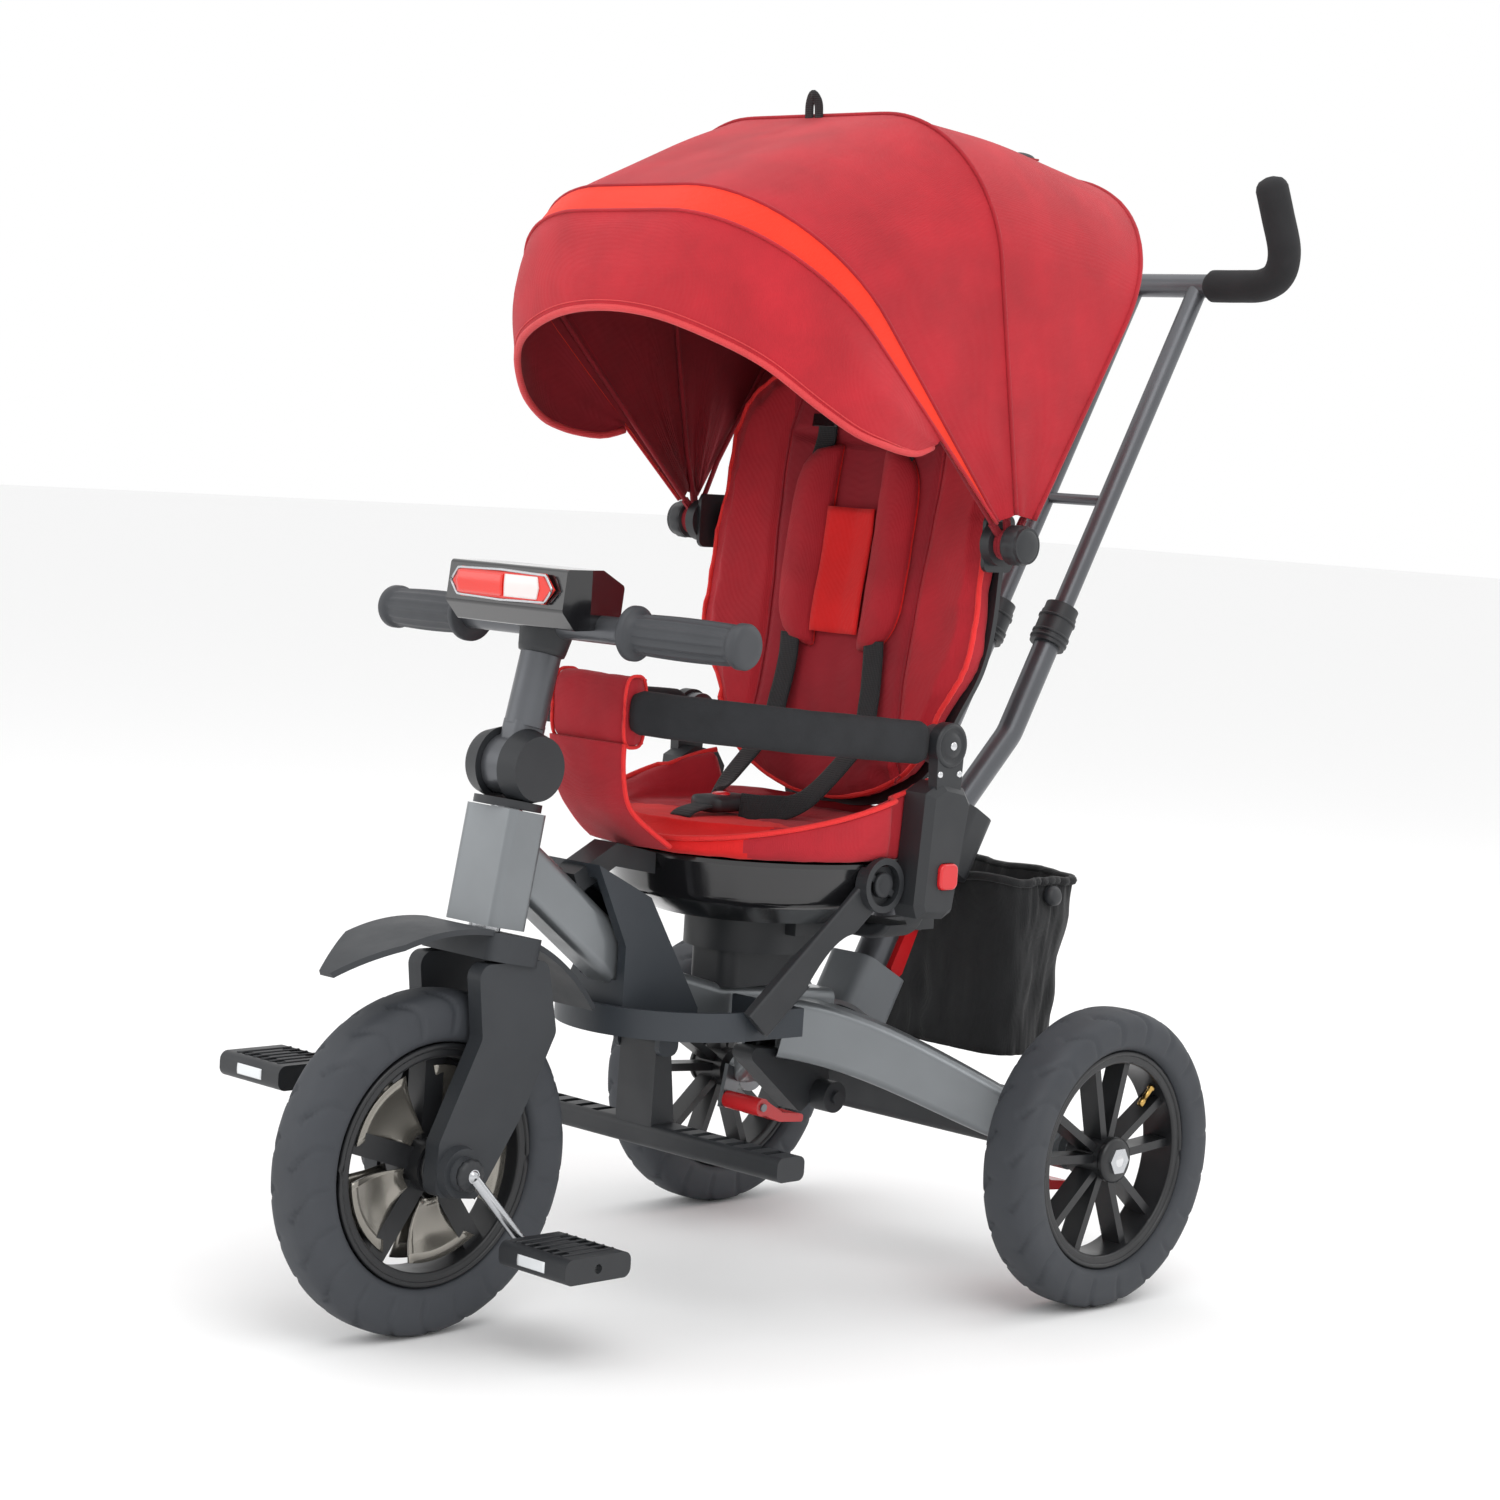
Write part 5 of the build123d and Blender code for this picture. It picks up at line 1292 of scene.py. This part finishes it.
if visor_normals[8][VISOR_COLS // 2].y > 0:
    visor_normals = [[-n for n in row] for row in visor_normals]
visor = cloth_part("hood_visor", visor_rows, visor_normals, visor_depths, [(0, VISOR_COLS - 1)], CORAL, RED_INSIDE)
settle(visor, "canopy_front", "coral_fabric", "canopy_visor")
hem = [p - n * 0.0014 for p, n in zip(visor_rows[-1], visor_normals[-1])]
settle(cord_line("visor_hem", hem, 0.0034, CORAL_PIPING, sides=10), "canopy_front", "coral_fabric")
stitch = [p + n * 0.0003 for p, n in zip(visor_rows[-2], visor_normals[-2])]
settle(cord_line("visor_stitch", stitch, 0.0006, CORAL_PIPING, sides=6), "canopy_front", "coral_fabric")

# Back of the hood, behind the rear rib.
BACK_COLS, BACK_STEPS, BACK_FOOT = 41, 24, 118.0
back_rib = (31.0, REAR_RIB[1] - 2.5, REAR_RIB[2] - 2.5, REAR_RIB[3] - 2.5)
back_top = even_line(hood_arch(back_rib, BACK_FOOT), BACK_COLS)
behind = Vector((0, math.cos(math.radians(31)), -math.sin(math.radians(31))))
back_rows, back_depths = [], []
for i in range(BACK_STEPS + 1):
    t = i / BACK_STEPS
    row = []
    for j in range(BACK_COLS):
        u = 1 - 2 * j / (BACK_COLS - 1)
        p = lerp(rib_spot(31.0, u * back_rib[1], BACK_FOOT), back_top[j], t)
        wrinkle = 0.6 * noise.noise(Vector((u * 3, t * 4, 2.0))) * math.sin(math.pi * t)
        row.append(p + behind * ((3.4 + 0.8 * math.sin(math.pi * t) * (1 - u * u) + wrinkle) / 1000))
    back_rows.append(row)
    back_depths.append([0.0024] * BACK_COLS)
back_normals = normals_of(back_rows)
if back_normals[BACK_STEPS // 2][BACK_COLS // 2].y < 0:
    back_normals = [[-n for n in row] for row in back_normals]
hood_back = cloth_part(
    "hood_back", back_rows, back_normals, back_depths, [(0, BACK_COLS - 1)], RED, RED_INSIDE
)
settle(hood_back, "canopy_rear", "red_fabric", "canopy_back")

# Loops, toggle and flap on top of the hood.
for name, x, y, z, body in (("loop_front", 0, -8, 1083, "canopy_mid"), ("loop_rear", 0, 262, 1057, "canopy_rear")):
    tall = 19
    points = [at(x - 6, y + 1, z - 3), at(x - 5.5, y, z + tall * 0.6), at(x, y - 2, z + tall), at(x + 5.5, y, z + tall * 0.6),
              at(x + 6, y + 1, z - 3)]
    piece = strap(f"hood_{name}", points, 0.010, WEBBING, 0.0012, face=(0, -1, 0))
    settle(piece, body, "black_fabric")
toggle = lathe("hood_toggle", at(0, 285, 1054), (0, 0.3, 1),
               [(-0.004, 0.008), (0.004, 0.0085), (0.009, 0.0125), (0.015, 0.0155), (0.021, 0.0145), (0.026, 0.010),
                (0.0275, 0.004)], PLASTIC, count=36)
settle(toggle, "canopy_rear", "black_plastic")
flap_rows = []
for i in range(11):
    t = i / 10
    y, z = lerp(118, 232, t), 1074.5 - 0.1 * 118 * t
    flap_rows.append([at(x, y, z + 4.5 + 2.5 * math.sin(3 * t + x / 40) + (t**2) * 7 - 0.0009 * x * x) for x in range(-70, 71, 14)])
hood_flap = grid_piece("hood_flap", flap_rows, BACK_RED)
thicken(hood_flap, 0.0022)
apply_all(hood_flap)
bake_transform(hood_flap)
for side in (1, -1):
    word = "left" if side > 0 else "right"
    knob = lathe(
        f"hood_knob_{word}",
        at(side * 208.2, HINGE_Y, HINGE_Z),
        (side, 0, 0),
        [(0.0, 0.0176), (0.003, 0.0186), (0.012, 0.0180), (0.0172, 0.0155), (0.0188, 0.012), (0.0192, 0.005)],
        PLASTIC,
        count=60,
        ridge=lambda along, a, r: 0.0005 * math.cos(10 * a) if 0.002 < along < 0.013 else 0.0,
    )
    settle(knob, "backrest", "black_plastic")

# ---------------------------------------------------------------- basket
BASKET_COLS, BASKET_ROWS = 128, 26


def rounded_box(half_x, half_y, corner, turn):
    """Point of a rounded rectangle in a direction."""
    c, s = math.cos(turn), math.sin(turn)
    power = 5.0
    k = (abs(c) ** power + abs(s) ** power) ** (-1 / power)
    return c * k * half_x, s * k * half_y


def basket_point(t, turn, inset=0.0):
    """Outside of the bag: its middle sags and its cloth gathers at the rim."""
    fill = math.sin(math.pi * min(t * 1.08, 1.0))
    half_x = lerp(103, 115, t) - 4.0 * fill * (1 - t) - inset
    half_y = lerp(48, 55, t) - 2.0 * fill - inset
    x, y = rounded_box(half_x, half_y, 18, turn)
    gather = smooth_step((t - 0.62) / 0.38)
    creased = noise.noise(Vector((3.0 * math.cos(turn), 3.0 * math.sin(turn), t * 3.4)))
    fine = noise.noise(Vector((9 * math.cos(turn), 9 * math.sin(turn), t * 5)))
    move = -3.4 + 5.2 * creased + 2.2 * fine + 1.3 * gather * math.sin(34 * turn)
    length = math.hypot(x, y)
    x += x / length * move
    y += y / length * move
    droop = -11.0 * gather * (0.5 + 0.5 * noise.noise(Vector((2 * math.cos(turn), 2 * math.sin(turn), 7.0))))
    return at(x, 275 + y, lerp(205, 385, t) + droop * t)


rows = []
for i in range(BASKET_ROWS):
    t = i / (BASKET_ROWS - 1)
    rows.append([basket_point(t, 2 * math.pi * j / BASKET_COLS) for j in range(BASKET_COLS)])
for i in range(1, BASKET_ROWS - 1):
    t = 1 - i / (BASKET_ROWS - 1)
    rows.append([basket_point(t, 2 * math.pi * j / BASKET_COLS, 3.2) + Vector((0, 0, 0.002)) for j in range(BASKET_COLS)])
verts = [p for row in rows for p in row]
faces = grid_faces(len(rows), BASKET_COLS, wrap_cols=True)
under = len(verts)
verts.append(at(0, 275, 205.4))
verts.append(at(0, 275, 210.5))
last = (len(rows) - 1) * BASKET_COLS
for j in range(BASKET_COLS):
    k = (j + 1) % BASKET_COLS
    faces.append((k, j, under))
    faces.append((last + j, last + k, under + 1))
bag = mesh_piece("basket_bag", verts, faces, BASKET_CLOTH)
outward(bag)
settle(bag, "frame", "black_fabric", "basket")
rim = [basket_point(0.985, 2 * math.pi * j / BASKET_COLS) for j in range(BASKET_COLS)]
settle(cord_line("basket_rim", rim, 0.0042, BASKET_CLOTH, closed=True), "frame", "black_fabric")
net_rows = []
for i in range(31):
    t = lerp(0.2, 0.86, i / 30)
    net_rows.append([basket_point(t, math.radians(lerp(52, 128, j / 48)), -1.6) for j in range(49)])
net = grid_piece("basket_net", net_rows, NET)
settle(net, "frame", "black_fabric")
for number, turn in enumerate((0.0, math.pi)):
    centre = basket_point(0.93, turn)
    lock = lathe(f"basket_toggle_{number}", centre + Vector((0.001 * math.cos(turn), 0, -0.006)),
                 (math.cos(turn), 0, 0.2), [(0.0, 0.008), (0.003, 0.010), (0.009, 0.0095), (0.0115, 0.006)], PLASTIC, count=24)
    settle(lock, "frame", "black_plastic")

# ---------------------------------------------------------------- small details
stem_way = Vector((0, math.sin(math.radians(13.4)), math.cos(math.radians(13.4))))
clamp = lathe("stem_clamp", at(0, -327.03, 489.93), stem_way,
              [(0.099, 0.0183), (0.1, 0.0205), (0.104, 0.0215), (0.118, 0.0235), (0.131, 0.029), (0.133, 0.02)], PLASTIC)
settle(clamp, "stem_set", "black_plastic")
# Lens: red and clear halves inside a light frame line.
LENS = [(-66, 646), (-57, 657.6), (0, 659), (57, 657.6), (66, 646), (57, 634.8), (0, 633.4), (-57, 634.8)]
line = even_line([at(x, -354.6, z) for x, z in LENS + LENS[:1]], 97)[:-1]
settle(cord_line("lens_frame", line, 0.0012, STEEL, closed=True), "stem_set", "gloss_black")
for name, low, high, material in (("lens_clear_half", 6, 50, LENS_CLEAR), ("lens_red_half", -58, 3, LENS_RED)):
    rows = []
    for i in range(9):
        z = lerp(636.6, 655.8, i / 8)
        narrow = abs(i / 4 - 1) * 2.5
        rows.append([at(lerp(low + (narrow if low < -50 else 0), high - (narrow if high > 40 else 0), j / 20),
                        -355.1 - 0.7 * math.cos((i / 4 - 1) * 1.3), z) for j in range(21)])
    half = grid_piece(name, rows, material)
    thicken(half, 0.0016)
    apply_all(half)
    settle(half, "stem_set", "lens_red")

# Plugs in the ends of the footrest struts.
for side in (1, -1):
    word = "left" if side > 0 else "right"
    plug = lathe(
        f"strut_plug_{word}",
        at(side * 158.4, -17, 392),
        (side, 0, 0),
        [(-0.004, 0.0115), (0.0, 0.0115), (0.0014, 0.0102), (0.0002, 0.0065), (0.0002, 0.001)],
        PLASTIC,
    )
    settle(plug, "frame", "black_plastic")

# ---------------------------------------------------------------- stage, lights and camera
floor_mesh = bpy.data.meshes.new("floor")
floor_mesh.from_pydata([(-30, -30, 0), (30, -30, 0), (30, 30, 0), (-30, 30, 0)], [], [(0, 1, 2, 3)])
floor = bpy.data.objects.new("floor", floor_mesh)
bpy.context.scene.collection.objects.link(floor)
floor_paint = Shader("floor_paint", linear(246, 246, 246), 0.95)
floor_mesh.materials.append(floor_paint.material)

world = bpy.data.worlds.new("studio")
bpy.context.scene.world = world
world.use_nodes = True
world.node_tree.nodes["Background"].inputs["Color"].default_value = (1.0, 1.0, 1.0, 1.0)
world.node_tree.nodes["Background"].inputs["Strength"].default_value = 1.0


def area_light(name, place, target, size, power):
    data = bpy.data.lights.new(name, "AREA")
    data.shape = "RECTANGLE"
    data.size, data.size_y = size
    data.energy = power
    light = bpy.data.objects.new(name, data)
    bpy.context.scene.collection.objects.link(light)
    light.location = place
    aim = Vector(target) - Vector(place)
    light.rotation_mode = "QUATERNION"
    light.rotation_quaternion = aim.to_track_quat("-Z", "Y")
    return light


area_light("key_light", (2.6, -1.4, 3.4), (0, 0, 0.5), (2.6, 2.6), 46)
area_light("top_light", (-0.4, 0.2, 3.8), (0, 0, 0.5), (3.2, 3.2), 30)
area_light("fill_light", (-2.2, -3.2, 1.8), (0, 0, 0.5), (2.4, 2.4), 16)
area_light("rear_light", (0.8, 3.2, 2.2), (0, 0, 0.6), (2.2, 2.2), 14)

camera_data = bpy.data.cameras.new("camera")
camera = bpy.data.objects.new("camera", camera_data)
bpy.context.scene.collection.objects.link(camera)
bpy.context.scene.camera = camera
camera_data.sensor_width = 36.0
camera_data.lens = 36.0 * 3383.3 / 1500
camera_data.clip_end = 200
CAMERA_YAW, CAMERA_PITCH, CAMERA_ROLL = math.radians(44.595), math.radians(4.860), 0.06272
forward = Vector(
    (
        -math.sin(CAMERA_YAW) * math.cos(CAMERA_PITCH),
        math.cos(CAMERA_YAW) * math.cos(CAMERA_PITCH),
        -math.sin(CAMERA_PITCH),
    )
)
level = Vector((math.cos(CAMERA_YAW), math.sin(CAMERA_YAW), 0))
rise = level.cross(forward)
right = level * math.cos(CAMERA_ROLL) + rise * math.sin(CAMERA_ROLL)
upward = rise * math.cos(CAMERA_ROLL) - level * math.sin(CAMERA_ROLL)
camera.matrix_world = Matrix(
    (
        (right.x, upward.x, -forward.x, 2.192),
        (right.y, upward.y, -forward.y, -2.2575),
        (right.z, upward.z, -forward.z, 0.764),
        (0, 0, 0, 1),
    )
)
bpy.context.scene.view_settings.view_transform = "Standard"

for node_name, (_, edge) in KEPT.items():
    if edge:
        bevel(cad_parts[node_name], edge)
